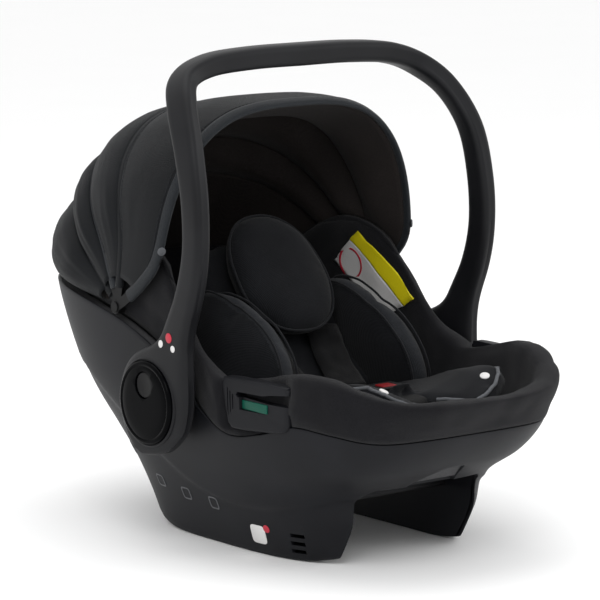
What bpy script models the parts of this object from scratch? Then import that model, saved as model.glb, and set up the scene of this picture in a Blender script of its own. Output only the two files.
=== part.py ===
"""Infant car seat: a moulded carrier shell with a swinging carry handle, a folding canopy,
a padded cover with a newborn insert, a three-point harness and base fittings.

Metres, +Z up. The foot end faces -Y and the sitter's left is +X. The origin is at the bottom
centre of the whole seat. Every station is first written from the handle's hub axis, which
crosses the frame at y = HUB_Y.
"""
import math

import bmesh
import bpy
import numpy as np
from mathutils import Matrix, Vector

# ---------------------------------------------------------------- driving dimensions
HUB_Y = -0.0009                  # hub axis from the middle of the seat's length
HUB_Z = 0.171                    # hub axis above the floor

SHELL_HALF_WIDTH = 0.188         # at the hub
SHELL_FRONT = 0.316              # hub axis to the front of the shell's rim
SHELL_BACK = 0.331               # hub axis to the back of the shell's rim
SHELL_WALL = 0.0036
SHELL_FLOOR_Z = 0.094            # top of the shell's floor
SHELL_SQUARENESS = 3.2           # superellipse exponent of the plan outline

TUNNEL_HALF_WIDTH = 0.088        # belly tunnel between the two runners
TUNNEL_ROOF_Z = 0.089
CHIN_SLOT = ((0.034, 0.050), (0.034, 0.091), (0.014, 0.114))   # half width, height
CHIN_SLOT_END = -0.226           # how far back the slot under the front edge runs
RUNNER_WALL = 0.0042
RUNNER_RIB_STEP = 0.062
RUNNER_RIB = 0.004
RUNNER_FLAT = (-0.125, 0.055)    # stretch of the runners that stands on the floor
RUNNER_RISE = 0.0075             # lift of the runner's ends

FOAM_THICKNESS = 0.013
FOAM_FLOOR_THICKNESS = 0.011
COVER_THICKNESS = 0.006
COVER_SWELL = 0.003              # how far the padded rim stands out in front
RIM_SEAT_GAP = 0.0022            # padded rim above the plastic rim
RIM_TUCK = 0.0135                # how far the padded rim draws in under the canopy
RIM_TUCK_START = 0.100           # where it begins, in front of the hub axis
RIM_TUCK_LENGTH = 0.120
RIM_SEGMENTS = 52
PAD_GAP = 0.0008                 # between soft neighbours
PART_GAP = 0.0004                # between hard neighbours

HANDLE_BAR_Z = 0.547             # centre of the grip bar
HANDLE_HALF_WIDTH = 0.2085       # centre of the legs at the hub
HANDLE_BOW = 0.078               # how far the legs bow forward
HANDLE_SEAM = 0.0006             # gap between the outer and inner handle shells

BOSS_RADIUS = 0.060
BOSS_THICKNESS = 0.0235
BOSS_CLEARANCE = 0.0012          # boss to the hub mount
CAP_RADIUS = 0.0473
CAP_PROUD = 0.0055               # cap face beyond the boss
MOUNT_RADIUS = 0.050
MOUNT_THICKNESS = 0.0050
SPINDLE_RADIUS = 0.0100
LOCK_RADIUS = 0.0300
LOCK_TEETH = 12
LOCK_TOOTH = 0.0050
LOCK_THICKNESS = 0.0045
CAVITY_RADIUS = 0.0385
CAVITY_DEPTH = 0.0125
BOLT_RADIUS = 0.0040
BUTTON_RADIUS = 0.0150
BUTTON_RISE = 0.0200             # button centre above the hub axis
BUTTON_TRAVEL = 0.0030
BUTTON_RECESS = 0.0016           # button face behind the cap face

CANOPY_PIVOT_Y = 0.105           # from the hub axis
CANOPY_PIVOT_Z = 0.262
CANOPY_HALF_WIDTH = 0.1846       # centre of the front bow at its pivot
CANOPY_SQUARENESS = 3.0
CANOPY_BELLY = 0.073             # forward hook of the front bow's lower ends
BOW_ANGLES_DEG = (-23.0, 10.0, 36.0, 52.0)
BOW_RADIUS = (0.250, 0.222, 0.212, 0.200)
BOW_BELLY_SHARE = (1.0, 0.45, 0.30, 0.0)
BOW_PITCH = 0.0024               # side step from one bow to the next, inwards
BOW_THICKNESS = 0.0018
BOW_WIDTH = 0.0120
BOW_EYE_RADIUS = 0.0080
RIVET_RADIUS = 0.0030
REAR_EDGE_DEG = 84.0
REAR_EDGE_RADIUS = 0.216
GORE_THICKNESS = 0.0016
GORE_MARGIN = 0.0032             # gore edge to the bow's edge
GORE_BULGE = (0.003, 0.005, 0.008, 0.012)
GORE_START = 0.34                # where a gore's side begins, as a share of the bow's radius

GUIDE_Y = -0.148                 # belt guide centre from the hub axis
GUIDE_LENGTH = 0.092
GUIDE_FOOT = 0.0186               # lower edge above the plastic rim
GUIDE_HIGH_Z = 0.214
GUIDE_THICKNESS = 0.0165
GUIDE_SLOT = 0.009
GUIDE_SLOT_Z = 0.1945
GUIDE_INSERT_HEIGHT = 0.010

BACK_HALF_WIDTH = 0.098
BACK_SLAB = 0.036                # thickness of the back pad, measured level
SEAT_TOP_Z = 0.150               # insert surface at the hip crease
SEAT_FRONT_Y = -0.235            # front edge of the lobes
HIP_Y = -0.040
LOBE_NOTCH = 0.020               # half width of the gap between the lobes
LOBE_NOTCH_DEPTH = 0.040
HEADREST_HALF = (0.074, 0.066, 0.026)
BOLSTER_HALF = (0.018, 0.102, 0.066)

STRAP_WIDTH = 0.036
STRAP_THICKNESS = 0.0016
SHOULDER_PAD_WIDTH = 0.048
SHOULDER_PAD_THICKNESS = 0.010
BUCKLE_SIZE = (0.044, 0.036, 0.016)

# shell stations: height, then half width, front and back as shares of the rim's own
SHELL_STATIONS = (
    (0.000, 0.681, 0.646, 0.492),
    (0.045, 0.755, 0.706, 0.538),
    (0.086, 0.850, 0.722, 0.580),
    (0.118, 0.926, 0.880, 0.640),
    (0.150, 0.979, 0.975, 0.735),
    (0.170, 0.995, 1.000, 0.796),
    (0.200, 1.000, 1.050, 0.872),
    (0.227, 1.000, 1.060, 0.930),
    (0.270, 1.000, 1.060, 1.000),
    (0.345, 0.985, 1.060, 1.030),
)
# plastic rim and padded rim: distance from the hub axis, height
RIM_LINE = (
    (-0.360, 0.163), (-0.320, 0.159), (-0.290, 0.155), (-0.245, 0.163), (-0.205, 0.168),
    (-0.152, 0.153), (-0.095, 0.147), (-0.040, 0.178), (0.020, 0.220), (0.085, 0.246),
    (0.155, 0.260), (0.260, 0.271), (0.400, 0.277),
)
COVER_LINE = (
    (-0.360, 0.196), (-0.325, 0.199), (-0.290, 0.211), (-0.250, 0.224), (-0.205, 0.225),
    (-0.150, 0.214), (-0.100, 0.206), (-0.060, 0.220), (-0.020, 0.246), (0.030, 0.282),
    (0.070, 0.293), (0.120, 0.288), (0.180, 0.281), (0.260, 0.280), (0.400, 0.284),
)

SIDES = (("left", 1.0), ("right", -1.0))

# ---------------------------------------------------------------- materials


def material(name, color, roughness, metallic=0.0):
    """One Principled material, made once and found again by its name."""
    found = bpy.data.materials.get(name)
    if found:
        return found
    mat = bpy.data.materials.new(name)
    mat.use_nodes = True
    shader = mat.node_tree.nodes["Principled BSDF"]
    shader.inputs["Base Color"].default_value = (*color, 1.0)
    shader.inputs["Roughness"].default_value = roughness
    shader.inputs["Metallic"].default_value = metallic
    mat.diffuse_color = (*color, 1.0)
    return mat


def shell_plastic():
    return material("shell_plastic", (0.020, 0.020, 0.025), 0.45)


def handle_plastic():
    return material("handle_plastic", (0.021, 0.021, 0.023), 0.42)


def gloss_black():
    return material("gloss_black", (0.006, 0.006, 0.007), 0.12)


def dark_plastic():
    return material("dark_plastic", (0.012, 0.012, 0.013), 0.5)


def cover_fabric():
    return material("cover_fabric", (0.014, 0.013, 0.015), 0.9)


def canopy_fabric():
    return material("canopy_fabric", (0.016, 0.017, 0.021), 0.85)


def insert_fabric():
    return material("insert_fabric", (0.018, 0.018, 0.021), 0.88)


def webbing():
    return material("webbing", (0.010, 0.010, 0.011), 0.8)


def foam():
    return material("foam", (0.030, 0.030, 0.032), 0.95)


def steel():
    return material("steel", (0.55, 0.55, 0.56), 0.3, 1.0)


def belt_green():
    return material("belt_green", (0.004, 0.075, 0.045), 0.4)


# ---------------------------------------------------------------- mesh helpers


def new_object(name, mesh, mat, sharp_deg=35.0):
    """Link a mesh as a named object, shaded smooth up to a crease angle."""
    mesh.name = name
    mesh.materials.clear()
    mesh.materials.append(mat)
    mesh.shade_smooth()
    mesh.set_sharp_from_angle(angle=math.radians(sharp_deg))
    obj = bpy.data.objects.new(name, mesh)
    bpy.context.scene.collection.objects.link(obj)
    return obj


def bm_to_mesh(bm, name):
    bmesh.ops.recalc_face_normals(bm, faces=bm.faces)
    mesh = bpy.data.meshes.new(name)
    bm.to_mesh(mesh)
    bm.free()
    return mesh


def loft(name, rings, closed_loop=False):
    """Closed solid through rings of equal length; a closed loop joins the last to the first."""
    bm = bmesh.new()
    rows = [[bm.verts.new(point) for point in ring] for ring in rings]
    count = len(rows[0])
    pairs = list(zip(rows, rows[1:]))
    if closed_loop:
        pairs.append((rows[-1], rows[0]))
    for low, high in pairs:
        for i in range(count):
            j = (i + 1) % count
            bm.faces.new((low[i], low[j], high[j], high[i]))
    if not closed_loop:
        bm.faces.new(list(reversed(rows[0])))
        bm.faces.new(rows[-1])
    return bm_to_mesh(bm, name)


def prism_x(name, outline, half_width):
    """Side outline of (y, z) points, extruded across the seat."""
    rings = [[(x, y, z) for y, z in outline] for x in (-half_width, half_width)]
    return loft(name, rings)


def disc_x(name, y, z, radius, x_low, x_high, sides=32, bevel=0.0):
    """Round disc or rod across the seat, with an optional bevel on its +X rim."""
    levels = [(x_low, radius), (x_high, radius)]
    if bevel:
        levels = [(x_low, radius), (x_high - bevel, radius), (x_high, radius - bevel)]
    rings = []
    for x, r in levels:
        turns = [2 * math.pi * i / sides for i in range(sides)]
        rings.append([(x, y + r * math.cos(a), z + r * math.sin(a)) for a in turns])
    return loft(name, rings)


def box(name, low, high, bevel=0.0, segments=2):
    bm = bmesh.new()
    bmesh.ops.create_cube(bm, size=1.0)
    low, high = Vector(low), Vector(high)
    size = high - low
    bmesh.ops.scale(bm, vec=size, verts=bm.verts)
    bmesh.ops.translate(bm, vec=(low + high) / 2, verts=bm.verts)
    if bevel:
        bmesh.ops.bevel(bm, geom=bm.edges[:], offset=bevel, segments=segments,
                        profile=0.5, affect="EDGES")
    return bm_to_mesh(bm, name)


def superellipsoid(name, centre, half, squareness=2.6, rows=8, columns=16):
    """Rounded pad about its own axes."""
    power = 2.0 / squareness

    def curve(value):
        return math.copysign(abs(value) ** power, value)

    bm = bmesh.new()
    top = bm.verts.new((0, 0, half[2]))
    bottom = bm.verts.new((0, 0, -half[2]))
    rings = []
    for r in range(1, rows):
        tilt = math.pi * r / rows
        ring = []
        for c in range(columns):
            turn = 2 * math.pi * c / columns
            ring.append(bm.verts.new((half[0] * curve(math.sin(tilt)) * curve(math.cos(turn)),
                                      half[1] * curve(math.sin(tilt)) * curve(math.sin(turn)),
                                      half[2] * curve(math.cos(tilt)))))
        rings.append(ring)
    for c in range(columns):
        d = (c + 1) % columns
        bm.faces.new((top, rings[0][c], rings[0][d]))
        bm.faces.new((bottom, rings[-1][d], rings[-1][c]))
        for low, high in zip(rings, rings[1:]):
            bm.faces.new((low[c], high[c], high[d], low[d]))
    bmesh.ops.translate(bm, vec=centre, verts=bm.verts)
    return bm_to_mesh(bm, name)


def boolean(mesh, operation, *tools):
    """Mesh after an exact Boolean with each tool mesh in turn; the tools are used up."""
    for tool in tools:
        body = bpy.data.objects.new("body", mesh)
        cutter = bpy.data.objects.new("cutter", tool)
        for obj in (body, cutter):
            bpy.context.scene.collection.objects.link(obj)
        modifier = body.modifiers.new("cut", "BOOLEAN")
        modifier.operation = operation
        modifier.solver = "EXACT"
        modifier.object = cutter
        graph = bpy.context.evaluated_depsgraph_get()
        mesh = bpy.data.meshes.new_from_object(body.evaluated_get(graph))
        for obj in (body, cutter):
            bpy.data.objects.remove(obj)
    bm = bmesh.new()
    bm.from_mesh(mesh)
    bmesh.ops.remove_doubles(bm, verts=bm.verts, dist=1e-6)
    bmesh.ops.dissolve_degenerate(bm, dist=1e-6, edges=bm.edges)
    cleaned = bpy.data.meshes.new(mesh.name)
    bm.to_mesh(cleaned)
    bm.free()
    return cleaned


def move(mesh, matrix):
    mesh.transform(matrix)
    return mesh


def mirror_side(mesh, sign):
    """Right-hand copy of a left-hand mesh when sign is negative."""
    if sign > 0:
        return mesh
    mesh.transform(Matrix.Scale(-1.0, 4, (1, 0, 0)))
    mesh.flip_normals()
    return mesh


def smooth_line(points, samples=56):
    """Smooth curve through (distance, height) points, as two arrays for interpolation."""
    xs = np.array([p[0] for p in points])
    ys = np.array([p[1] for p in points])
    slopes = np.gradient(ys, xs)
    fine = np.linspace(xs[0], xs[-1], samples)
    index = np.clip(np.searchsorted(xs, fine) - 1, 0, len(xs) - 2)
    span = xs[index + 1] - xs[index]
    t = (fine - xs[index]) / span
    h00, h10 = 2 * t**3 - 3 * t**2 + 1, t**3 - 2 * t**2 + t
    h01, h11 = -2 * t**3 + 3 * t**2, t**3 - t**2
    heights = (h00 * ys[index] + h10 * span * slopes[index]
               + h01 * ys[index + 1] + h11 * span * slopes[index + 1])
    return fine, heights


def catmull_rom(points, per_span):
    """Points along a smooth curve through the given ones."""
    pts = [Vector(p) for p in points]
    pts = [2 * pts[0] - pts[1], *pts, 2 * pts[-1] - pts[-2]]
    out = []
    for a, b, c, d in zip(pts, pts[1:], pts[2:], pts[3:]):
        for k in range(per_span):
            t = k / per_span
            out.append(0.5 * (2 * b + (c - a) * t + (2 * a - 5 * b + 4 * c - d) * t * t
                              + (3 * b - a - 3 * c + d) * t**3))
    out.append(pts[-2])
    return out


# ---------------------------------------------------------------- shell outlines

RIM_Y, RIM_Z = smooth_line(RIM_LINE)
COVER_Y, COVER_Z = smooth_line(COVER_LINE)


def rim_z(y):
    return float(np.interp(y, RIM_Y, RIM_Z))


def cover_z(y):
    return float(np.interp(y, COVER_Y, COVER_Z))


def shell_size(z):
    """Half width, front and back of the shell's outside at a height."""
    table = np.array(SHELL_STATIONS)
    width, front, back = (float(np.interp(z, table[:, 0], table[:, k])) for k in (1, 2, 3))
    return width * SHELL_HALF_WIDTH, front * SHELL_FRONT, back * SHELL_BACK


def plan_point(turn, z, inset=0.0):
    """Point of the shell's plan outline at a turn angle, moved inwards by inset."""
    half, front, back = shell_size(z)
    power = 2.0 / SHELL_SQUARENESS
    across = math.copysign(abs(math.cos(turn)) ** power, math.cos(turn))
    along = math.copysign(abs(math.sin(turn)) ** power, math.sin(turn))
    reach = back if along > 0 else front
    return (half - inset) * across, (reach - inset) * along


def plan_ring(z, inset, sides=32):
    ring = []
    for i in range(sides):
        x, y = plan_point(2 * math.pi * (i + 0.5) / sides, z, inset)
        ring.append((x, y, z))
    return ring


def tub_form(name, inset, z_low, z_high, sides=32):
    """Solid of the shell's outline, drawn in by inset, between two heights."""
    heights = [z_low]
    heights += [s[0] for s in SHELL_STATIONS if z_low + 0.004 < s[0] < z_high - 0.004]
    heights.append(z_high)
    return loft(name, [plan_ring(z, inset, sides) for z in heights])


def side_profile(line_y, line_z, drop, z_low):
    """Side outline under a rim line, down to a flat bottom."""
    outline = [(float(y), float(z) - drop) for y, z in zip(line_y, line_z)]
    return [(outline[0][0], z_low), *outline, (outline[-1][0], z_low)]


def runner_profile():
    """Side outline of the whole shell: rim on top, rocker-ended runners below."""
    top = [(float(y), float(z)) for y, z in zip(RIM_Y, RIM_Z)]
    low = RUNNER_FLAT[0]
    high = RUNNER_FLAT[1]
    bottom = []
    for k in range(8, 0, -1):
        bottom.append((high + 0.030 * k, RUNNER_RISE * (k / 2.0) ** 2))
    bottom += [(high, 0.0), (low, 0.0)]
    for k in range(1, 9):
        bottom.append((low - 0.030 * k, RUNNER_RISE * (k / 2.0) ** 2))
    return top + bottom


# ---------------------------------------------------------------- shell and linings


def make_outer_shell():
    body = tub_form("outer_shell", 0.0, 0.0, 0.345)
    body = boolean(body, "INTERSECT", prism_x("profile", runner_profile(), 0.4))
    body = boolean(body, "DIFFERENCE", tub_form("cavity", SHELL_WALL, SHELL_FLOOR_Z, 0.36))
    roof = [(-TUNNEL_HALF_WIDTH, -0.01), (-TUNNEL_HALF_WIDTH, TUNNEL_ROOF_Z - 0.012),
            (-TUNNEL_HALF_WIDTH + 0.012, TUNNEL_ROOF_Z), (TUNNEL_HALF_WIDTH - 0.012, TUNNEL_ROOF_Z),
            (TUNNEL_HALF_WIDTH, TUNNEL_ROOF_Z - 0.012), (TUNNEL_HALF_WIDTH, -0.01)]
    rings = [[(x, y, z) for x, z in roof] for y in (-0.42, 0.42)]
    body = boolean(body, "DIFFERENCE", loft("tunnel", rings))
    outline = [(side * x, z) for side in (-1, 1) for x, z in CHIN_SLOT[::side]]
    rings = [[(x, y, z) for x, z in outline] for y in (-0.42, CHIN_SLOT_END)]
    body = boolean(body, "DIFFERENCE", loft("chin_slot", rings))
    pockets = tub_form("pockets", RUNNER_WALL + 0.001, -0.01, SHELL_FLOOR_Z - RUNNER_WALL)
    inner = TUNNEL_HALF_WIDTH + RUNNER_WALL
    keep = [box("keep", (-inner, -0.5, -0.1), (inner, 0.5, 0.2))]
    for k in range(-3, 2):
        y = (k + 0.5) * RUNNER_RIB_STEP
        keep.append(box("rib", (-0.3, y, -0.1), (0.3, y + RUNNER_RIB, 0.2)))
    pockets = boolean(pockets, "DIFFERENCE", *keep)
    body = boolean(body, "DIFFERENCE", pockets)
    for _, sign in SIDES:
        x = SHELL_HALF_WIDTH
        low, high = sorted((sign * (x - 0.02), sign * (x + 0.01)))
        body = boolean(body, "DIFFERENCE", disc_x("bore", 0, HUB_Z, SPINDLE_RADIUS + PART_GAP,
                                                  low, high, 20))
    return new_object("outer_shell", body, shell_plastic())


FOAM_OUT = SHELL_WALL + PAD_GAP
FOAM_IN = FOAM_OUT + FOAM_THICKNESS
COVER_OUT = FOAM_IN + PAD_GAP
COVER_IN = COVER_OUT + COVER_THICKNESS
FOAM_FLOOR = SHELL_FLOOR_Z + PAD_GAP
FOAM_TOP = FOAM_FLOOR + FOAM_FLOOR_THICKNESS
COVER_FLOOR = FOAM_TOP + PAD_GAP
COVER_TOP = COVER_FLOOR + COVER_THICKNESS


def make_tub(name, out, inner, z_low, z_floor, line, drop, mat):
    body = tub_form(name, out, z_low, 0.345)
    profile = side_profile(*line, drop, -0.01)
    body = boolean(body, "INTERSECT", prism_x("profile", profile, 0.4))
    body = boolean(body, "DIFFERENCE", tub_form("cavity", inner, z_floor, 0.36))
    return new_object(name, body, mat)


def make_linings():
    rim_line, cover_line = (RIM_Y, RIM_Z), (COVER_Y, COVER_Z)
    make_tub("foam_liner", FOAM_OUT, FOAM_IN, FOAM_FLOOR, FOAM_TOP, rim_line, 0.004, foam())
    make_tub("seat_cover", COVER_OUT, COVER_IN, COVER_FLOOR, COVER_TOP, cover_line, 0.003,
             cover_fabric())


def rim_tuck(y):
    """0 where the padded rim stands flush with the shell, 1 where it draws in under the canopy."""
    ease = min(1.0, max(0.0, (y + RIM_TUCK_START) / RIM_TUCK_LENGTH))
    return ease * ease * (3 - 2 * ease)


def make_cover_rim():
    """Padded roll that stands on the plastic rim all round."""
    rings = []
    inner = COVER_OUT - 2 * PAD_GAP
    for i in range(RIM_SEGMENTS):
        turn = 2 * math.pi * (i + 0.5) / RIM_SEGMENTS
        tuck = rim_tuck(plan_point(turn, RIM_LINE[0][1])[1])
        outer = RIM_TUCK * tuck
        swell = COVER_SWELL * (1 - tuck)
        ring = []
        shares = ((0.0, outer), (0.5, outer - swell), (0.9, outer), (1.0, outer + 0.004),
                  (1.0, inner - 0.001), (0.5, inner - 0.0005), (0.0, inner))
        for share, inset in shares:
            z = HUB_Z
            for _ in range(6):
                x, y = plan_point(turn, z, inset)
                low = rim_z(y) + RIM_SEAT_GAP
                z = low + (cover_z(y) - low) * share
            ring.append((x, y, z))
        rings.append(ring)
    body = loft("cover_rim", rings, closed_loop=True)
    for _, sign in SIDES:
        body = boolean(body, "DIFFERENCE", guide_envelope(sign, 0.001))
    return new_object("cover_rim", body, cover_fabric())


# ---------------------------------------------------------------- belt guides


def guide_envelope(sign, grow=0.0):
    outer = SHELL_HALF_WIDTH - 0.002 + grow
    low_x, high_x = sorted((sign * outer, sign * (outer - GUIDE_THICKNESS - 2 * grow)))
    half = GUIDE_LENGTH / 2 + grow
    low_z = rim_z(GUIDE_Y) + GUIDE_FOOT
    return box("guide", (low_x, GUIDE_Y - half, low_z - grow),
               (high_x, GUIDE_Y + half, GUIDE_HIGH_Z + grow), 0.0075 if not grow else 0.0, 2)


def make_belt_guides():
    for side, sign in SIDES:
        body = guide_envelope(sign)
        slot_back = GUIDE_Y + 0.022
        slot = box("slot", (-0.3, GUIDE_Y - GUIDE_LENGTH, GUIDE_SLOT_Z - GUIDE_SLOT / 2),
                   (0.3, slot_back, GUIDE_SLOT_Z + GUIDE_SLOT / 2))
        mouth = box("mouth", (-0.3, GUIDE_Y - GUIDE_LENGTH, GUIDE_SLOT_Z - GUIDE_SLOT / 2),
                    (0.3, GUIDE_Y - 0.030, GUIDE_SLOT_Z + GUIDE_SLOT * 1.1))
        body = boolean(body, "DIFFERENCE", slot, mouth)
        outer = SHELL_HALF_WIDTH - 0.002
        low_x, high_x = sorted((sign * (outer - 0.004), sign * (outer + 0.01)))
        recess_low = GUIDE_SLOT_Z - GUIDE_SLOT / 2 - GUIDE_INSERT_HEIGHT - 2 * PART_GAP
        recess = box("recess", (low_x, GUIDE_Y - 0.026, recess_low),
                     (high_x, GUIDE_Y + 0.018, GUIDE_SLOT_Z))
        body = boolean(body, "DIFFERENCE", recess)
        new_object(f"belt_guide_{side}", body, shell_plastic())
        face = outer - 0.004 + PART_GAP
        low_x, high_x = sorted((sign * face, sign * (face + 0.0025)))
        insert = box("insert", (low_x, GUIDE_Y - 0.026 + PART_GAP, recess_low + PART_GAP),
                     (high_x, GUIDE_Y + 0.018 - PART_GAP,
                      recess_low + PART_GAP + GUIDE_INSERT_HEIGHT), 0.0006, 1)
        new_object(f"belt_guide_insert_{side}", insert, belt_green())


# ---------------------------------------------------------------- handle

MOUNT_FACE = SHELL_HALF_WIDTH + PART_GAP
BOSS_IN = MOUNT_FACE + MOUNT_THICKNESS + BOSS_CLEARANCE - 0.0006
BOSS_OUT = BOSS_IN + BOSS_THICKNESS
CAVITY_TOP = BOSS_IN + CAVITY_DEPTH
CAP_FLOOR = CAVITY_TOP + 0.0035


def handle_path():
    """Centre line of the handle, left foot to right foot."""
    corner = HANDLE_BAR_Z - 0.012
    left = [
        (HANDLE_HALF_WIDTH, 0.0, HUB_Z + 0.030),
        (HANDLE_HALF_WIDTH, -0.038, HUB_Z + 0.085),
        (HANDLE_HALF_WIDTH - 0.0005, -HANDLE_BOW, HUB_Z + 0.172),
        (HANDLE_HALF_WIDTH - 0.0040, -HANDLE_BOW * 0.79, HUB_Z + 0.284),
        (HANDLE_HALF_WIDTH - 0.0250, -HANDLE_BOW * 0.25, HUB_Z + 0.341),
        (0.1500, 0.003, corner),
        (0.0890, 0.0035, HANDLE_BAR_Z - 0.0005),
        (0.0, 0.0035, HANDLE_BAR_Z),
    ]
    right = [(-x, y, z) for x, y, z in reversed(left[:-1])]
    return catmull_rom(left + right, 2)


def handle_section(share):
    """Half width across the leg and half thickness at a share from foot (0) to bar middle (1)."""
    width = float(np.interp(share, (0.0, 0.15, 0.40, 0.65, 0.80, 1.0),
                            (0.0270, 0.0205, 0.0160, 0.0160, 0.0165, 0.0170)))
    thick = float(np.interp(share, (0.0, 0.15, 0.40, 0.65, 0.80, 1.0),
                            (0.0078, 0.0085, 0.0095, 0.0110, 0.0125, 0.0128)))
    return width, thick


def handle_half(name, outer):
    """Outer or inner half shell of the handle, split along the middle of its thickness."""
    path = handle_path()
    last = len(path) - 1
    rings = []
    for i, point in enumerate(path):
        before = path[max(0, i - 1)]
        after = path[min(last, i + 1)]
        tangent = (after - before).normalized()
        outward = Vector((point.x, 0.0, max(0.0, point.z - HUB_Z - 0.18))).normalized()
        outward = (outward - tangent * outward.dot(tangent)).normalized()
        fore = tangent.cross(outward).normalized()
        share = 1.0 - abs(2.0 * i / last - 1.0)
        width, thick = handle_section(share)
        side = 1.0 if outer else -1.0
        seam = side * HANDLE_SEAM / 2
        ring = [point + fore * width + outward * seam]
        for k in range(5):
            turn = math.pi * (k + 0.5) / 5
            across = math.copysign(abs(math.cos(turn)) ** 0.55, math.cos(turn))
            rise = max(abs(math.sin(turn)) ** 0.7, 0.1)
            ring.append(point + fore * (width * across) + outward * (side * thick * rise))
        ring.append(point - fore * width + outward * seam)
        rings.append(ring)
    return loft(name, rings)


def boss_solid(sign, low, high, radius, bevel):
    mesh = disc_x("boss", 0, HUB_Z, radius, low, high, 26, bevel)
    return mirror_side(mesh, sign)


def make_handle():
    seam_x = HANDLE_HALF_WIDTH
    outer = handle_half("handle_outer_shell", True)
    inner = handle_half("handle_inner_shell", False)
    for _, sign in SIDES:
        low = seam_x + HANDLE_SEAM / 2
        outer = boolean(outer, "UNION", boss_solid(sign, low, BOSS_OUT, BOSS_RADIUS, 0.003))
        inner = boolean(inner, "UNION",
                        boss_solid(sign, BOSS_IN, seam_x - HANDLE_SEAM / 2, BOSS_RADIUS, 0.0))
        trim = boss_solid(sign, seam_x - HANDLE_SEAM / 2, BOSS_OUT - 0.0033, BOSS_RADIUS + 0.0005, 0)
        inner = boolean(inner, "DIFFERENCE", trim)
        trim = boss_solid(sign, BOSS_IN - 0.01, low, BOSS_RADIUS + 0.0005, 0)
        outer = boolean(outer, "DIFFERENCE", trim)
        cavity = boss_solid(sign, BOSS_IN - 0.01, CAVITY_TOP, CAVITY_RADIUS, 0)
        inner = boolean(inner, "DIFFERENCE", cavity)
        seat = boss_solid(sign, CAP_FLOOR, BOSS_OUT + 0.01, CAP_RADIUS + PART_GAP, 0)
        outer = boolean(outer, "DIFFERENCE", seat)
        bolt = boss_solid(sign, BOSS_IN, BOSS_OUT, BOLT_RADIUS + PART_GAP, 0)
        stem = disc_x("stem", 0, HUB_Z + BUTTON_RISE, 0.0050, BOSS_IN, BOSS_OUT, 12)
        holes = boolean(bolt, "UNION", mirror_side(stem, sign))
        inner = boolean(inner, "DIFFERENCE", holes.copy())
        outer = boolean(outer, "DIFFERENCE", holes)
    new_object("handle_outer_shell", outer, handle_plastic())
    new_object("handle_inner_shell", inner, handle_plastic())


def lock_outline(y0, z0):
    """Toothed outline of the lock ring."""
    points = []
    for k in range(LOCK_TEETH * 4):
        turn = 2 * math.pi * (k + 0.5) / (LOCK_TEETH * 4)
        radius = LOCK_RADIUS + (LOCK_TOOTH if k % 4 in (0, 1) else 0.0)
        points.append((y0 + radius * math.cos(turn), z0 + radius * math.sin(turn)))
    return points


def make_hubs():
    for side, sign in SIDES:
        mount = disc_x("mount", 0, HUB_Z, MOUNT_RADIUS, MOUNT_FACE, MOUNT_FACE + MOUNT_THICKNESS, 22)
        spindle = disc_x("spindle", 0, HUB_Z, SPINDLE_RADIUS, SHELL_HALF_WIDTH - 0.0045,
                         CAVITY_TOP - 0.0010, 18)
        mount = boolean(mount, "UNION", spindle)
        thread = disc_x("thread", 0, HUB_Z, BOLT_RADIUS + PART_GAP, MOUNT_FACE + 0.001, 0.3, 10)
        mount = boolean(mount, "DIFFERENCE", thread)
        new_object(f"hub_mount_{side}", mirror_side(mount, sign), dark_plastic())

        low = MOUNT_FACE + MOUNT_THICKNESS + PART_GAP
        rings = [[(x, y, z) for y, z in lock_outline(0, HUB_Z)] for x in (low, low + LOCK_THICKNESS)]
        ring = loft("lock_ring", rings)
        ring = boolean(ring, "DIFFERENCE", disc_x("bore", 0, HUB_Z, SPINDLE_RADIUS + PART_GAP,
                                                  low - 0.01, low + 0.02, 18))
        new_object(f"lock_ring_{side}", mirror_side(ring, sign), steel())

        low = low + LOCK_THICKNESS + PART_GAP
        spring = disc_x("spring", 0, HUB_Z, 0.0150, low, low + 0.0008, 18)
        spring = boolean(spring, "DIFFERENCE", disc_x("bore", 0, HUB_Z, 0.0110, 0, 0.3, 18))
        new_object(f"button_spring_{side}", mirror_side(spring, sign), steel())

        low = low + 0.0008 + PART_GAP + BUTTON_TRAVEL
        plunger = disc_x("plunger", 0, HUB_Z, 0.0280, low, low + 0.0012, 20)
        plunger = boolean(plunger, "DIFFERENCE", disc_x("bore", 0, HUB_Z, SPINDLE_RADIUS + 0.001,
                                                        0, 0.3, 18))
        new_object(f"lock_plunger_{side}", mirror_side(plunger, sign), dark_plastic())
        stem_low = low + 0.0012 + PART_GAP

        bolt = disc_x("bolt", 0, HUB_Z, BOLT_RADIUS, MOUNT_FACE + 0.002, CAP_FLOOR + 0.001, 10)
        head = disc_x("head", 0, HUB_Z, 0.0080, CAP_FLOOR + PART_GAP, CAP_FLOOR + 0.0034, 6)
        bolt = boolean(bolt, "UNION", head)
        new_object(f"pivot_bolt_{side}", mirror_side(bolt, sign), steel())

        cap_face = BOSS_OUT + CAP_PROUD
        cap = disc_x("cap", 0, HUB_Z, CAP_RADIUS, CAP_FLOOR + PART_GAP, cap_face, 28, 0.0025)
        hollow = disc_x("hollow", 0, HUB_Z, CAP_RADIUS - 0.008, CAP_FLOOR - 0.01, cap_face - 0.0035, 18)
        hole = disc_x("hole", 0, HUB_Z + BUTTON_RISE, BUTTON_RADIUS + PART_GAP, 0, 0.3, 20)
        cap = boolean(cap, "DIFFERENCE", hollow, hole)
        new_object(f"hub_cap_{side}", mirror_side(cap, sign), gloss_black())

        face = cap_face - BUTTON_RECESS
        button = disc_x("button", 0, HUB_Z + BUTTON_RISE, BUTTON_RADIUS, face - 0.0030, face, 20, 0.001)
        stem = disc_x("stem", 0, HUB_Z + BUTTON_RISE, 0.0042, stem_low, face - 0.001, 10)
        button = boolean(button, "UNION", stem)
        new_object(f"release_button_{side}", mirror_side(button, sign), dark_plastic())


# ---------------------------------------------------------------- canopy


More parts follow.
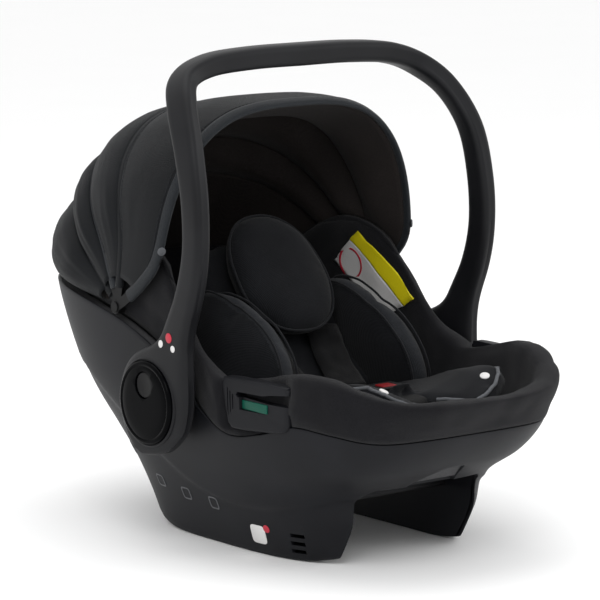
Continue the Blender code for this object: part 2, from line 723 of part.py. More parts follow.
def bow_size(k):
    """Half width and radius of a bow; k may lie between two bows, and the front bow is 0."""
    half = CANOPY_HALF_WIDTH - BOW_PITCH * k
    radius = float(np.interp(k, range(5), (*BOW_RADIUS, REAR_EDGE_RADIUS)))
    if k < 1:
        radius = BOW_RADIUS[1] + (BOW_RADIUS[0] - BOW_RADIUS[1]) * (1 - k) ** 2
    return half, radius


def canopy_point(k, angle, t, lift=0.0):
    """Point on the canopy at an angle back from upright; t runs over the arch from side to side."""
    half, radius = bow_size(k)
    half += lift
    radius += lift
    power = 2.0 / CANOPY_SQUARENESS
    x = half * math.copysign(abs(math.cos(t)) ** power, math.cos(t))
    share = abs(math.sin(t)) ** power
    belly_share = float(np.interp(k, range(4), BOW_BELLY_SHARE)) if k < 3 else 0.0
    hook = CANOPY_BELLY * belly_share * (1.0 - share) * min(1.0, share / 0.35)
    turn = math.radians(angle)
    reach = radius * share
    y = CANOPY_PIVOT_Y + reach * math.sin(turn) - hook * math.cos(turn)
    z = CANOPY_PIVOT_Z + reach * math.cos(turn) + hook * math.sin(turn)
    return Vector((x, y, z))


def make_bow(k):
    """Flat spring strip from pivot to pivot, with an eye at each end."""
    angle = BOW_ANGLES_DEG[k]
    steps = 24
    ts = [math.pi * (0.5 - 0.5 * math.cos(math.pi * i / steps)) for i in range(steps + 1)]
    path = [canopy_point(k, angle, t) for t in ts]
    rings = []
    turn = math.radians(angle)
    fore = Vector((0.0, -math.cos(turn), math.sin(turn)))
    for i, point in enumerate(path):
        tangent = (path[min(steps, i + 1)] - path[max(0, i - 1)]).normalized()
        across = (fore - tangent * fore.dot(tangent)).normalized()
        outward = across.cross(tangent).normalized()
        half_w, half_t = across * BOW_WIDTH / 2, outward * BOW_THICKNESS / 2
        rings.append([point + half_w + half_t, point - half_w + half_t,
                      point - half_w - half_t, point + half_w - half_t])
    body = loft("bow", rings)
    half, _ = bow_size(k)
    for _, sign in SIDES:
        low, high = half - BOW_THICKNESS / 2, half + BOW_THICKNESS / 2
        eye = disc_x("eye", CANOPY_PIVOT_Y, CANOPY_PIVOT_Z, BOW_EYE_RADIUS, low, high, 14)
        hole = disc_x("hole", CANOPY_PIVOT_Y, CANOPY_PIVOT_Z, RIVET_RADIUS + PART_GAP,
                      low - 0.01, high + 0.01, 8)
        body = boolean(body, "UNION", mirror_side(eye, sign))
        body = boolean(body, "DIFFERENCE", mirror_side(hole, sign))
    names = ("front", "second", "third", "rear")
    new_object(f"canopy_bow_{names[k]}", body, dark_plastic())


def make_gore(k):
    """Fabric panel from one bow to the next, as a thin closed shell."""
    low_angle = BOW_ANGLES_DEG[k]
    high_angle = BOW_ANGLES_DEG[k + 1] if k < 3 else REAR_EDGE_DEG
    start = math.asin(GORE_START ** (CANOPY_SQUARENESS / 2.0))
    steps, spans = 18, 3
    outer, inner = [], []
    for j in range(spans + 1):
        f = j / spans
        bulge = GORE_BULGE[k] * math.sin(math.pi * f)
        row_out, row_in = [], []
        for i in range(steps + 1):
            t = start + (math.pi - 2 * start) * i / steps
            _, radius = bow_size(k)
            reach = radius * math.sin(t) ** (2.0 / CANOPY_SQUARENESS)
            margin = math.degrees((BOW_WIDTH / 2 + GORE_MARGIN) / reach)
            rear_margin = margin if k < 3 else 0.0
            angle = low_angle + margin + (high_angle - low_angle - margin - rear_margin) * f
            fade = min(1.0, max(0.0, math.sin(t) - math.sin(start)) / 0.35)
            row_out.append(canopy_point(k + f, angle, t, bulge * fade + GORE_THICKNESS / 2))
            row_in.append(canopy_point(k + f, angle, t, bulge * fade - GORE_THICKNESS / 2))
        outer.append(row_out)
        inner.append(row_in)
    rings = [out + list(reversed(back)) for out, back in zip(outer, inner)]
    names = ("front", "second", "third", "rear")
    new_object(f"canopy_gore_{names[k]}", loft("gore", rings), canopy_fabric())


def make_canopy():
    for k in range(4):
        make_bow(k)
        make_gore(k)
    inner_bow = CANOPY_HALF_WIDTH - 3 * BOW_PITCH - BOW_THICKNESS / 2
    outer_bow = CANOPY_HALF_WIDTH + BOW_THICKNESS / 2
    for side, sign in SIDES:
        rivet = disc_x("rivet", CANOPY_PIVOT_Y, CANOPY_PIVOT_Z, RIVET_RADIUS,
                       inner_bow - 0.0006, outer_bow + 0.0005, 10)
        head = disc_x("head", CANOPY_PIVOT_Y, CANOPY_PIVOT_Z, 0.0065,
                      outer_bow + PART_GAP, outer_bow + 0.0018, 12, 0.0006)
        rivet = boolean(rivet, "UNION", head)
        new_object(f"canopy_rivet_{side}", mirror_side(rivet, sign), steel())


# ---------------------------------------------------------------- insert, pads and harness

BACK_SURFACE = ((HIP_Y, SEAT_TOP_Z), (0.0, 0.190), (0.080, 0.295), (0.112, 0.326))
BACK_TILT = math.atan2(0.295 - 0.190, 0.080)


def back_point(z):
    """Distance from the hub axis of the back pad's surface at a height."""
    return float(np.interp(z, [p[1] for p in BACK_SURFACE], [p[0] for p in BACK_SURFACE]))


def seat_z(y):
    """Height of the seat pad's surface, from the hip crease to the lobes."""
    return float(np.interp(y, (SEAT_FRONT_Y, -0.200, -0.120, HIP_Y),
                           (0.176, 0.178, 0.158, SEAT_TOP_Z)))


def make_pads():
    back = [*BACK_SURFACE, (0.145, 0.329), (0.185, 0.317), (0.235, 0.290), (0.270, 0.270), (0.220, 0.160),
            (0.190, COVER_TOP + PAD_GAP), (HIP_Y, COVER_TOP + PAD_GAP)]
    body = prism_x("back_pad", back, BACK_HALF_WIDTH)
    room = tub_form("room", COVER_IN + PAD_GAP, COVER_TOP - 0.01, 0.36)
    body = boolean(body, "INTERSECT", room)
    under = [(y + BACK_SLAB, z - 0.012) for y, z in BACK_SURFACE[1:3]]
    under = [(HIP_Y + BACK_SLAB, COVER_TOP - 0.01), *under, (0.150, 0.300), (0.205, 0.280),
             (0.238, 0.262), (0.196, 0.160), (0.166, COVER_TOP - 0.01)]
    hollow = prism_x("hollow", under, BACK_HALF_WIDTH - BACK_SLAB * 0.6)
    new_object("back_pad", boolean(body, "DIFFERENCE", hollow), insert_fabric())

    floor = COVER_TOP + PAD_GAP
    front = HIP_Y - PAD_GAP
    stations = (front, -0.080, -0.120, -0.160, -0.200, -0.222, SEAT_FRONT_Y)
    seat = [(y, seat_z(y)) for y in stations[:-1]]
    seat += [(SEAT_FRONT_Y, 0.166), (SEAT_FRONT_Y + 0.006, floor), (front, floor)]
    body = prism_x("seat_pad", seat, BACK_HALF_WIDTH)
    room = tub_form("room", COVER_IN + PAD_GAP, COVER_TOP - 0.01, 0.36)
    notch = box("notch", (-LOBE_NOTCH, -0.4, 0.0), (LOBE_NOTCH, SEAT_FRONT_Y + LOBE_NOTCH_DEPTH, 0.4))
    body = boolean(body, "INTERSECT", room)
    new_object("seat_pad", boolean(body, "DIFFERENCE", notch), insert_fabric())

    normal = Vector((0.0, -math.sin(BACK_TILT), math.cos(BACK_TILT)))
    base = Vector((0.0, 0.066, 0.190 + 0.066 * math.tan(BACK_TILT)))
    centre = base + normal * (HEADREST_HALF[2] + PAD_GAP)
    head = superellipsoid("headrest", (0, 0, 0), HEADREST_HALF)
    place = Matrix.Translation(centre) @ Matrix.Rotation(BACK_TILT, 4, "X")
    new_object("headrest", move(head, place), insert_fabric())

    for side, sign in SIDES:
        centre = (sign * (BACK_HALF_WIDTH + BOLSTER_HALF[0] + 0.0015), -0.012, 0.198)
        pad = superellipsoid("bolster", (0, 0, 0), BOLSTER_HALF, 2.4)
        place = Matrix.Translation(centre) @ Matrix.Rotation(math.radians(22), 4, "X")
        new_object(f"bolster_{side}", move(pad, place), insert_fabric())


def ribbon(name, centres, width, thickness):
    """Flat strap through centre points, its width across the seat."""
    rings = []
    last = len(centres) - 1
    for i, point in enumerate(centres):
        tangent = (centres[min(last, i + 1)] - centres[max(0, i - 1)]).normalized()
        up = Vector((1, 0, 0)).cross(tangent).normalized()
        if up.z < 0:
            up = -up
        across = tangent.cross(up).normalized() * width / 2
        rise = up * thickness / 2
        rings.append([point - across - rise, point + across - rise,
                      point + across + rise, point - across + rise])
    return loft(name, rings)


BUCKLE_Y = -0.150


def strap_points(sign, lift):
    """Route of a shoulder strap above the back and seat surfaces."""
    route = []
    for x, z in ((0.045, 0.222), (0.043, 0.208), (0.041, 0.194)):
        route.append((x, back_point(z), z))
    for x, y in ((0.037, -0.022), (0.030, -0.052), (0.022, -0.088), (0.0215, -0.118)):
        surface = 0.172 if y > -0.04 else 0.160
        surface = max(surface, seat_z(y) + 0.004) if y < -0.04 else surface
        route.append((x, y, surface))
    offset = Vector((0.0, -0.6, 0.8)) * lift
    return catmull_rom([Vector((sign * x, y, z)) + offset for x, y, z in route], 2)


def make_harness():
    for side, sign in SIDES:
        strap = ribbon("strap", strap_points(sign, 0.0032), STRAP_WIDTH, STRAP_THICKNESS)
        new_object(f"shoulder_strap_{side}", strap, webbing())
        lift = 0.0032 + STRAP_THICKNESS / 2 + SHOULDER_PAD_THICKNESS / 2 + 0.0022
        pad = ribbon("pad", strap_points(sign, lift)[:8], SHOULDER_PAD_WIDTH,
                     SHOULDER_PAD_THICKNESS)
        new_object(f"shoulder_pad_{side}", pad, insert_fabric())

    wide, deep, tall = BUCKLE_SIZE
    low = seat_z(BUCKLE_Y) + 0.006
    body = box("buckle", (-wide / 2, BUCKLE_Y - deep / 2, low),
               (wide / 2, BUCKLE_Y + deep / 2 - 0.004, low + tall), 0.004, 2)
    well = box("well", (-0.0105, BUCKLE_Y - 0.0125, low + tall - 0.0050),
               (0.0105, BUCKLE_Y + 0.0045, low + tall + 0.01))
    new_object("buckle_housing", boolean(body, "DIFFERENCE", well), dark_plastic())
    button = box("button", (-0.0100, BUCKLE_Y - 0.0120, low + tall - 0.0015),
                 (0.0100, BUCKLE_Y + 0.0040, low + tall + 0.0012), 0.0006, 1)
    new_object("buckle_button", button, dark_plastic())

    tail = [Vector((0.0, BUCKLE_Y - deep / 2 - 0.0006, low + 0.006)),
            Vector((0.0, BUCKLE_Y - deep / 2 - 0.012, low + 0.008)),
            Vector((0.0, SEAT_FRONT_Y + LOBE_NOTCH_DEPTH - 0.012, 0.176)),
            Vector((0.0, SEAT_FRONT_Y + LOBE_NOTCH_DEPTH - 0.0145, 0.150)),
            Vector((0.0, SEAT_FRONT_Y + LOBE_NOTCH_DEPTH - 0.0145, COVER_TOP + 0.001))]
    strap = ribbon("crotch", catmull_rom(tail, 3), STRAP_WIDTH, STRAP_THICKNESS)
    new_object("crotch_strap", strap, webbing())

    y = SEAT_FRONT_Y + 0.010
    floor = COVER_TOP + PAD_GAP
    body = box("adjuster", (-0.0185, y - 0.011, floor), (0.0185, y + 0.011, floor + 0.016), 0.003, 2)
    well = box("well", (-0.0125, y - 0.0080, floor + 0.010), (0.0125, y + 0.0080, floor + 0.03))
    new_object("adjuster_housing", boolean(body, "DIFFERENCE", well), dark_plastic())
    button = box("button", (-0.0120, y - 0.0075, floor + 0.0140), (0.0120, y + 0.0075, floor + 0.0180),
                 0.0006, 1)
    new_object("adjuster_button", button, dark_plastic())


# ---------------------------------------------------------------- base fittings

LEVER_Z = 0.205
LEVER_HALF_WIDTH = 0.045
LEVER_LENGTH = 0.036
LEVER_THICKNESS = 0.004


def lever_frame():
    """Hinge point of the rear lever and the slope of the shell's back there."""
    back = shell_size(LEVER_Z)[2]
    slope = math.atan2(shell_size(LEVER_Z + 0.02)[2] - shell_size(LEVER_Z - 0.02)[2], 0.04)
    return back, slope


def make_base_fittings():
    for k, y in enumerate((-0.150, 0.095)):
        name = ("front", "rear")[k]
        bar = disc_x("bar", y, 0.066, 0.005, -TUNNEL_HALF_WIDTH + PART_GAP,
                     TUNNEL_HALF_WIDTH - PART_GAP, 12)
        new_object(f"latch_bar_{name}", bar, steel())
    number = 0
    for y in (-0.105, 0.050):
        for x in (-0.058, 0.058):
            number += 1
            bm = bmesh.new()
            bmesh.ops.create_cone(bm, cap_ends=True, segments=12, radius1=0.0050, radius2=0.0062,
                                  depth=0.0026)
            bmesh.ops.translate(bm, vec=(x, y, TUNNEL_ROOF_Z - 0.0013 - PART_GAP), verts=bm.verts)
            new_object(f"base_screw_{number}", bm_to_mesh(bm, "screw"), steel())

    back, slope = lever_frame()
    place = Matrix.Translation((0, back + 0.0075, LEVER_Z)) @ Matrix.Rotation(-slope, 4, "X")
    lever = box("lever", (-LEVER_HALF_WIDTH, -LEVER_THICKNESS / 2, -LEVER_LENGTH),
                (LEVER_HALF_WIDTH, LEVER_THICKNESS / 2, 0.0), 0.0015, 2)
    new_object("release_lever", move(lever, place), dark_plastic())
    for side, sign in SIDES:
        low, high = sorted((sign * (LEVER_HALF_WIDTH + PART_GAP), sign * (LEVER_HALF_WIDTH + 0.009)))
        ear = box("ear", (low, -0.0045, -0.010), (high, 0.0035, 0.004), 0.001, 1)
        new_object(f"lever_bracket_{side}", move(ear, place), dark_plastic())


# ---------------------------------------------------------------- assembly

def set_origin(obj, point):
    """Put an object's origin on a point without moving its mesh."""
    point = Vector(point)
    obj.data.transform(Matrix.Translation(-point))
    obj.location = point


def set_joint_origins():
    hub = (0.0, 0.0, HUB_Z)
    pivot = (0.0, CANOPY_PIVOT_Y, CANOPY_PIVOT_Z)
    back, _ = lever_frame()
    lever = (0.0, back + 0.0075, LEVER_Z)
    for obj in bpy.data.objects:
        if obj.name.startswith(("handle_", "hub_cap", "pivot_bolt", "release_button", "lock_plunger")):
            set_origin(obj, hub)
        elif obj.name.startswith(("canopy_bow", "canopy_gore")):
            set_origin(obj, pivot)
        elif obj.name == "release_lever":
            set_origin(obj, lever)
        elif obj.name in ("buckle_button", "adjuster_button"):
            corners = [Vector(corner) for corner in obj.bound_box]
            set_origin(obj, sum(corners, Vector()) / 8)


def main():
    for obj in list(bpy.data.objects):
        bpy.data.objects.remove(obj)
    make_outer_shell()
    make_linings()
    make_cover_rim()
    make_belt_guides()
    make_handle()
    make_hubs()
    make_canopy()
    make_pads()
    make_harness()
    make_base_fittings()
    set_joint_origins()
    for obj in bpy.data.objects:
        obj.location.y += HUB_Y


main()
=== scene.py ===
"""Looks of the infant car seat: moulded shell, carry handle, folding canopy, padded cover,
newborn insert, harness and trim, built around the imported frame.

Metres, +Z up. The foot end faces -Y and the sitter's left is +X.
"""

import math

import bmesh
import bpy
import numpy as np
from mathutils import Matrix, Vector, noise
from mathutils.bvhtree import BVHTree


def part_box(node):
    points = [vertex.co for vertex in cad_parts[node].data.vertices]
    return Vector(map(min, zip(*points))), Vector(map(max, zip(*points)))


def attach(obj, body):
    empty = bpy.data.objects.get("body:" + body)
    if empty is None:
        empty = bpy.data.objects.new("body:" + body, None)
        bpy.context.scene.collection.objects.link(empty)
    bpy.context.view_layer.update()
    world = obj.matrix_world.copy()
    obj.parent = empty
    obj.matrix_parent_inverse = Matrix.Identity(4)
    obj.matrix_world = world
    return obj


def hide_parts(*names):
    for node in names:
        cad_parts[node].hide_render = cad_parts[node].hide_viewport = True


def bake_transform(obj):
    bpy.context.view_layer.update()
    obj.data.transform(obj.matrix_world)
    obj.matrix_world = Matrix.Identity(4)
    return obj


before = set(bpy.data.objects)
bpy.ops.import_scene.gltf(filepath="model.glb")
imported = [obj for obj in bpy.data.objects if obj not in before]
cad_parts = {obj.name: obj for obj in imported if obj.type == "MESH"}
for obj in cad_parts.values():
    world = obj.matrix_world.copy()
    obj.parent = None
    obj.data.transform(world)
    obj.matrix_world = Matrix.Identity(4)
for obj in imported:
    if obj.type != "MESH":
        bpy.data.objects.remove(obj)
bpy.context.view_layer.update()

SIDES = (("left", 1.0), ("right", -1.0))

# ---------------------------------------------------------------- sizes

CAP_LOW, CAP_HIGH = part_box("hub_cap_left")
HUB_Y = (CAP_LOW[1] + CAP_HIGH[1]) / 2
HUB_Z = (CAP_LOW[2] + CAP_HIGH[2]) / 2
CAP_RADIUS = (CAP_HIGH[2] - CAP_LOW[2]) / 2
CAP_FACE = CAP_HIGH[0]

SHELL_HALF_WIDTH = 0.188
SHELL_FRONT = 0.316              # hub axis to the front of the rim
SHELL_BACK = 0.331
SHELL_WALL = 0.0036
SHELL_FLOOR = 0.094
SHELL_SQUARENESS = 3.2
SHELL_RISE = 62                  # rows of points between the runners' foot and the rim
UNDERSIDE_Z = 0.0892
RUNNER_WALL = 0.0042
TUNNEL_HALF_WIDTH = 0.088
VENT_PITCH = 0.0095              # vents in the runners' sides, one above the other
VENT_HEIGHT = 0.0045
CREASE_STEP = 0.0030             # the skirt sits this far behind the upper shell

COVER_INSET = 0.0242             # cover's inner face from the shell's outside
COVER_FLOOR = 0.1166
ROLL_SWELL = 0.0035
RIM_TUCK = 0.0135
GUIDE_Y = -0.148
GUIDE_HALF = 0.050
COVER_LEAN = 0.010               # the side wings lean in towards their top edge

HEADREST_HALF = (0.063, 0.077, 0.0235)     # half width, half height, half thickness
BOLSTER_HALF = (0.076, 0.108, 0.0225)
SEAT_PAD_HALF = 0.0965
SEAT_PAD_BACK, SEAT_PAD_FRONT = -0.046, -0.266
LOBE_CORNER = 0.030              # how far the lobes' outer corners are rounded back
LOBE_NOTCH = 0.064               # depth of the gap between the lobes
NOTCH_SHARE = 0.27

HANDLE_HALF_WIDTH = 0.2085
HANDLE_BAR_Z = 0.547
HANDLE_BOW = 0.078
BOSS_IN = 0.1943
BOSS_OUT = 0.2175
BOSS_RADIUS = 0.060
BUTTON_Z = HUB_Z + 0.020

PIVOT_Y = 0.105                  # canopy pivot from the hub axis
PIVOT_Z = 0.262
CANOPY_HALF_WIDTH = 0.1846
CANOPY_SQUARENESS = 3.0
CANOPY_BELLY = 0.073
BOW_ANGLES = (-23.0, 10.0, 36.0, 52.0, 84.0)
BOW_RADIUS = (0.250, 0.222, 0.212, 0.200, 0.216)
BELLY_SHARE = (1.0, 0.45, 0.30, 0.0)
BOW_PITCH = 0.0024
PANEL_PUFF = (0.0040, 0.0075, 0.0112, 0.0150)
LINING_SAG = (0.018, 0.017, 0.014, 0.006)
PANEL_NAMES = ("front", "second", "third", "rear")
PANEL_START = 0.15               # side end of a panel, as a share of the bow's radius

# outside of the shell: height, then half width, front and back as shares of the rim's own
SHELL_STATIONS = np.array((
    (0.000, 0.681, 0.646, 0.492), (0.045, 0.755, 0.706, 0.538), (0.086, 0.850, 0.722, 0.580),
    (0.118, 0.926, 0.880, 0.640), (0.150, 0.979, 0.975, 0.735), (0.170, 0.995, 1.000, 0.796),
    (0.200, 1.000, 1.050, 0.872), (0.227, 1.000, 1.060, 0.930), (0.270, 1.000, 1.060, 1.000),
    (0.345, 0.985, 1.060, 1.030),
))
RIM_LINE = np.array((
    (-0.360, 0.163), (-0.320, 0.159), (-0.290, 0.155), (-0.245, 0.163), (-0.205, 0.168),
    (-0.152, 0.153), (-0.095, 0.147), (-0.040, 0.178), (0.020, 0.220), (0.085, 0.246),
    (0.155, 0.260), (0.260, 0.271), (0.400, 0.277),
))
COVER_LINE = np.array((
    (-0.360, 0.196), (-0.325, 0.199), (-0.290, 0.211), (-0.250, 0.224), (-0.205, 0.225),
    (-0.150, 0.214), (-0.100, 0.206), (-0.060, 0.220), (-0.020, 0.248), (0.015, 0.290),
    (0.045, 0.320), (0.080, 0.333), (0.130, 0.335), (0.175, 0.321), (0.215, 0.300),
    (0.260, 0.288), (0.400, 0.288),
))
CREASE_LINE = np.array((
    (-0.360, 0.112), (-0.281, 0.096), (-0.181, 0.072), (-0.092, 0.057), (-0.033, 0.060),
    (0.019, 0.076), (0.060, 0.104), (0.110, 0.140), (0.170, 0.170), (0.400, 0.190),
))


def smooth_step(low, high, value):
    share = min(1.0, max(0.0, (value - low) / (high - low)))
    return share * share * (3 - 2 * share)


def blend(a, b, share):
    return a + (b - a) * share


def signed_power(value, power):
    """Power that keeps the sign: the rounding of a squarish outline."""
    return math.copysign(abs(value) ** power, value)


def full_turns(count):
    """Even turn angles round a circle."""
    return [2 * math.pi * k / count for k in range(count)]


def smooth_curve(points, samples=400):
    """Fine arrays of a smooth curve through (position, value) rows."""
    xs, ys = points[:, 0], points[:, 1]
    slopes = np.gradient(ys, xs)
    fine = np.linspace(xs[0], xs[-1], samples)
    index = np.clip(np.searchsorted(xs, fine) - 1, 0, len(xs) - 2)
    span = xs[index + 1] - xs[index]
    t = (fine - xs[index]) / span
    value = ((2 * t**3 - 3 * t**2 + 1) * ys[index] + (t**3 - 2 * t**2 + t) * span * slopes[index]
             + (-2 * t**3 + 3 * t**2) * ys[index + 1] + (t**3 - t**2) * span * slopes[index + 1])
    return fine, value


RIM_CURVE = smooth_curve(RIM_LINE)
COVER_CURVE = smooth_curve(COVER_LINE)
CREASE_CURVE = smooth_curve(CREASE_LINE)
STATION_CURVES = [smooth_curve(SHELL_STATIONS[:, (0, k)]) for k in (1, 2, 3)]


def rim_z(y):
    return float(np.interp(y, *RIM_CURVE))


def cover_z(y):
    return float(np.interp(y, *COVER_CURVE))


def crease_z(y):
    return float(np.interp(y, *CREASE_CURVE))


def shell_size(z):
    """Half width, front and back of the shell's outside at a height."""
    shares = [float(np.interp(z, *curve)) for curve in STATION_CURVES]
    return shares[0] * SHELL_HALF_WIDTH, shares[1] * SHELL_FRONT, shares[2] * SHELL_BACK


def plan_point(turn, z, inset=0.0):
    """Point on the shell's outline at a turn angle, moved inwards by inset; y from the hub axis."""
    half, front, back = shell_size(z)
    power = 2.0 / SHELL_SQUARENESS
    across = signed_power(math.cos(turn), power)
    along = signed_power(math.sin(turn), power)
    reach = back if along > 0 else front
    return (half - inset) * across, (reach - inset) * along


def even_turns(count):
    """Turn angles whose points lie evenly round the outline."""
    fine = np.linspace(0, 2 * math.pi, 4001)
    points = np.array([plan_point(turn, 0.17) for turn in fine])
    run = np.concatenate([[0], np.cumsum(np.linalg.norm(np.diff(points, axis=0), axis=1))])
    return np.interp(np.arange(count) / count * run[-1], run, fine)


def at_height(turn, inset, height):
    """Outline point whose height is a function of its own distance along the seat."""
    z = 0.17
    for _ in range(8):
        x, y = plan_point(turn, z, inset)
        z = height(y)
    return Vector((x, y + HUB_Y, z))


# ---------------------------------------------------------------- finishes


class Number:
    """A value socket that takes part in arithmetic; every operator adds one Math node."""

    def __init__(self, finish, socket):
        self.finish = finish
        self.socket = socket

    def _math(self, operation, first, second=0.0):
        return self.finish.node("ShaderNodeMath", {"operation": operation}, {0: first, 1: second})

    def __add__(self, other):
        return self._math("ADD", self, other)

    def __radd__(self, other):
        return self._math("ADD", other, self)

    def __sub__(self, other):
        return self._math("SUBTRACT", self, other)

    def __rsub__(self, other):
        return self._math("SUBTRACT", other, self)

    def __mul__(self, other):
        return self._math("MULTIPLY", self, other)

    def __rmul__(self, other):
        return self._math("MULTIPLY", other, self)

    def sine(self):
        return self._math("SINE", self)


class Finish:
    """One material and the few ways its nodes are made."""

    def __init__(self, name, **fixed):
        self.material = bpy.data.materials.new(name)
        self.material.use_nodes = True
        self.nodes = self.material.node_tree.nodes
        self.links = self.material.node_tree.links
        self.shader = self.nodes["Principled BSDF"]
        for socket, value in fixed.items():
            self.shader.inputs[socket.replace("_", " ")].default_value = value

    def node(self, kind, settings, inputs, output=0):
        made = self.nodes.new(kind)
        for key, value in settings.items():
            setattr(made, key, value)
        for key, value in inputs.items():
            self.feed(made.inputs[key], value)
        return Number(self, made.outputs[output])

    def feed(self, socket, value):
        if isinstance(value, Number):
            self.links.new(value.socket, socket)
        else:
            socket.default_value = value

    def place(self):
        return self.node("ShaderNodeTexCoord", {}, {}, "Object")

    def stretched(self, vector, scale):
        return self.node("ShaderNodeVectorMath", {"operation": "MULTIPLY"},
                         {0: vector, 1: scale})

    def axes(self, vector):
        split = self.nodes.new("ShaderNodeSeparateXYZ")
        self.links.new(vector.socket, split.inputs[0])
        return [Number(self, split.outputs[k]) for k in range(3)]

    def cloud(self, vector, scale, detail=2.0, rough=0.5):
        return self.node("ShaderNodeTexNoise", {},
                         {"Vector": vector, "Scale": scale, "Detail": detail, "Roughness": rough})

    def ramp(self, value, low, high):
        """0 below low and 1 above high."""
        return self.node("ShaderNodeMapRange", {"interpolation_type": "SMOOTHSTEP"},
                         {"Value": value, "From Min": low, "From Max": high})

    def tint(self, share, first, second):
        return self.node("ShaderNodeMix", {"data_type": "RGBA"},
                         {0: share, 6: (*first, 1.0), 7: (*second, 1.0)}, 2)

    def surface(self, color, roughness=None, height=None, depth=0.0002, strength=1.0):
        self.feed(self.shader.inputs["Base Color"], color)
        if roughness is not None:
            self.feed(self.shader.inputs["Roughness"], roughness)
        if height is not None:
            bump = self.node("ShaderNodeBump", {},
                             {"Height": height, "Distance": depth, "Strength": strength})
            self.links.new(bump.socket, self.shader.inputs["Normal"])
        return self.material


def moulded_plastic(name, tone, light, roughness, grain=1500.0, depth=0.00006):
    """Fine-grained moulding with faint cloudy variation."""
    look = Finish(name, Specular_IOR_Level=0.17)
    place = look.place()
    cloud = look.cloud(place, 14.0, 3.0)
    speck = look.cloud(place, grain, 1.0)
    color = look.tint(look.ramp(cloud, 0.35, 0.70), tone, light)
    rough = roughness + (cloud - 0.5) * 0.12 + (speck - 0.5) * 0.10
    return look.surface(color, rough, speck, depth, 0.8)


def gloss_plastic(name, tone):
    look = Finish(name, Coat_Weight=0.01, Coat_Roughness=0.08, Specular_IOR_Level=0.03)
    place = look.place()
    smear = look.cloud(place, 45.0, 4.0)
    rough = 0.10 + look.ramp(smear, 0.45, 0.75) * 0.10
    color = look.tint(smear, tone, tuple(c * 1.5 for c in tone))
    return look.surface(color, rough, smear, 0.0001, 0.15)


def threads(look, place, pitch):
    """Over-and-under height of a plain weave, from two crossing sets of threads."""
    x, y, z = look.axes(place)
    turns = 2 * math.pi / pitch
    warp = ((x + y * 0.72) * turns).sine()
    weft = ((z + y * 0.69) * turns).sine()
    return warp * weft


def woven(name, tone, light, pitch=0.0011, depth=0.00022, sheen=0.07, roughness=0.85):
    """Woven cloth with mixed yarn tones and a soft nap."""
    look = Finish(name, Sheen_Weight=sheen, Sheen_Roughness=0.45, Specular_IOR_Level=0.11)
    place = look.place()
    weave = threads(look, place, pitch)
    yarn = look.cloud(look.stretched(place, (1.0, 1.0, 5.0)), 420.0, 2.0)
    wear = look.cloud(place, 11.0, 3.0)
    share = look.ramp(yarn + weave * 0.10 + (wear - 0.5) * 0.5, 0.30, 0.80)
    rough = roughness + (yarn - 0.5) * 0.15
    return look.surface(look.tint(share, tone, light), rough, weave + yarn * 1.2, depth, 0.7)


def knitted(name, tone, light, pitch=0.0016):
    """Soft jersey with fine vertical wales."""
    look = Finish(name, Sheen_Weight=0.06, Sheen_Roughness=0.5, Specular_IOR_Level=0.10)
    place = look.place()
    x, y, z = look.axes(place)
    turns = 2 * math.pi / pitch
    wale = ((x + y * 0.35 + z * 0.15) * turns).sine()
    loops = ((z + y * 0.8) * (turns * 0.8)).sine()
    fuzz = look.cloud(place, 700.0, 2.0)
    wear = look.cloud(place, 16.0, 3.0)
    share = look.ramp(fuzz * 0.7 + wear * 0.6, 0.45, 0.95)
    height = wale * 0.6 + loops * 0.3 + fuzz
    return look.surface(look.tint(share, tone, light), 0.88 + (fuzz - 0.5) * 0.1, height,
                        0.00020, 0.6)


def ribbed_webbing(name, tone, light):
    look = Finish(name, Specular_IOR_Level=0.20)
    x, y, z = look.axes(look.place())
    ribs = (x * (2 * math.pi / 0.0022)).sine()
    picks = ((y + z * 0.8) * (2 * math.pi / 0.0014)).sine()
    share = look.ramp(ribs + picks * 0.4, -1.0, 1.4)
    return look.surface(look.tint(share, tone, light), 0.62 + ribs * 0.05, ribs + picks * 0.5,
                        0.00025, 0.8)


def metal(name, tone, roughness):
    look = Finish(name, Metallic=1.0)
    place = look.place()
    brushed = look.cloud(look.stretched(place, (0.15, 4.0, 4.0)), 300.0, 2.0)
    color = look.tint(brushed, tone, tuple(c * 0.7 for c in tone))
    return look.surface(color, roughness + (brushed - 0.5) * 0.15, brushed, 0.00003, 0.5)


def printed(name, tone):
    """Plain printed label stock."""
    look = Finish(name, Specular_IOR_Level=0.4)
    place = look.place()
    fibre = look.cloud(place, 500.0, 2.0)
    color = look.tint(fibre, tone, tuple(c * 0.88 for c in tone))
    return look.surface(color, 0.45 + (fibre - 0.5) * 0.1, fibre, 0.00003, 0.4)


def bead_foam(name, tone):
    look = Finish(name)
    place = look.place()
    beads = look.node("ShaderNodeTexVoronoi", {}, {"Vector": place, "Scale": 260.0})
    color = look.tint(beads, tone, tuple(c * 1.6 for c in tone))
    return look.surface(color, 0.9 - beads * 0.1, beads, 0.0004, 0.6)


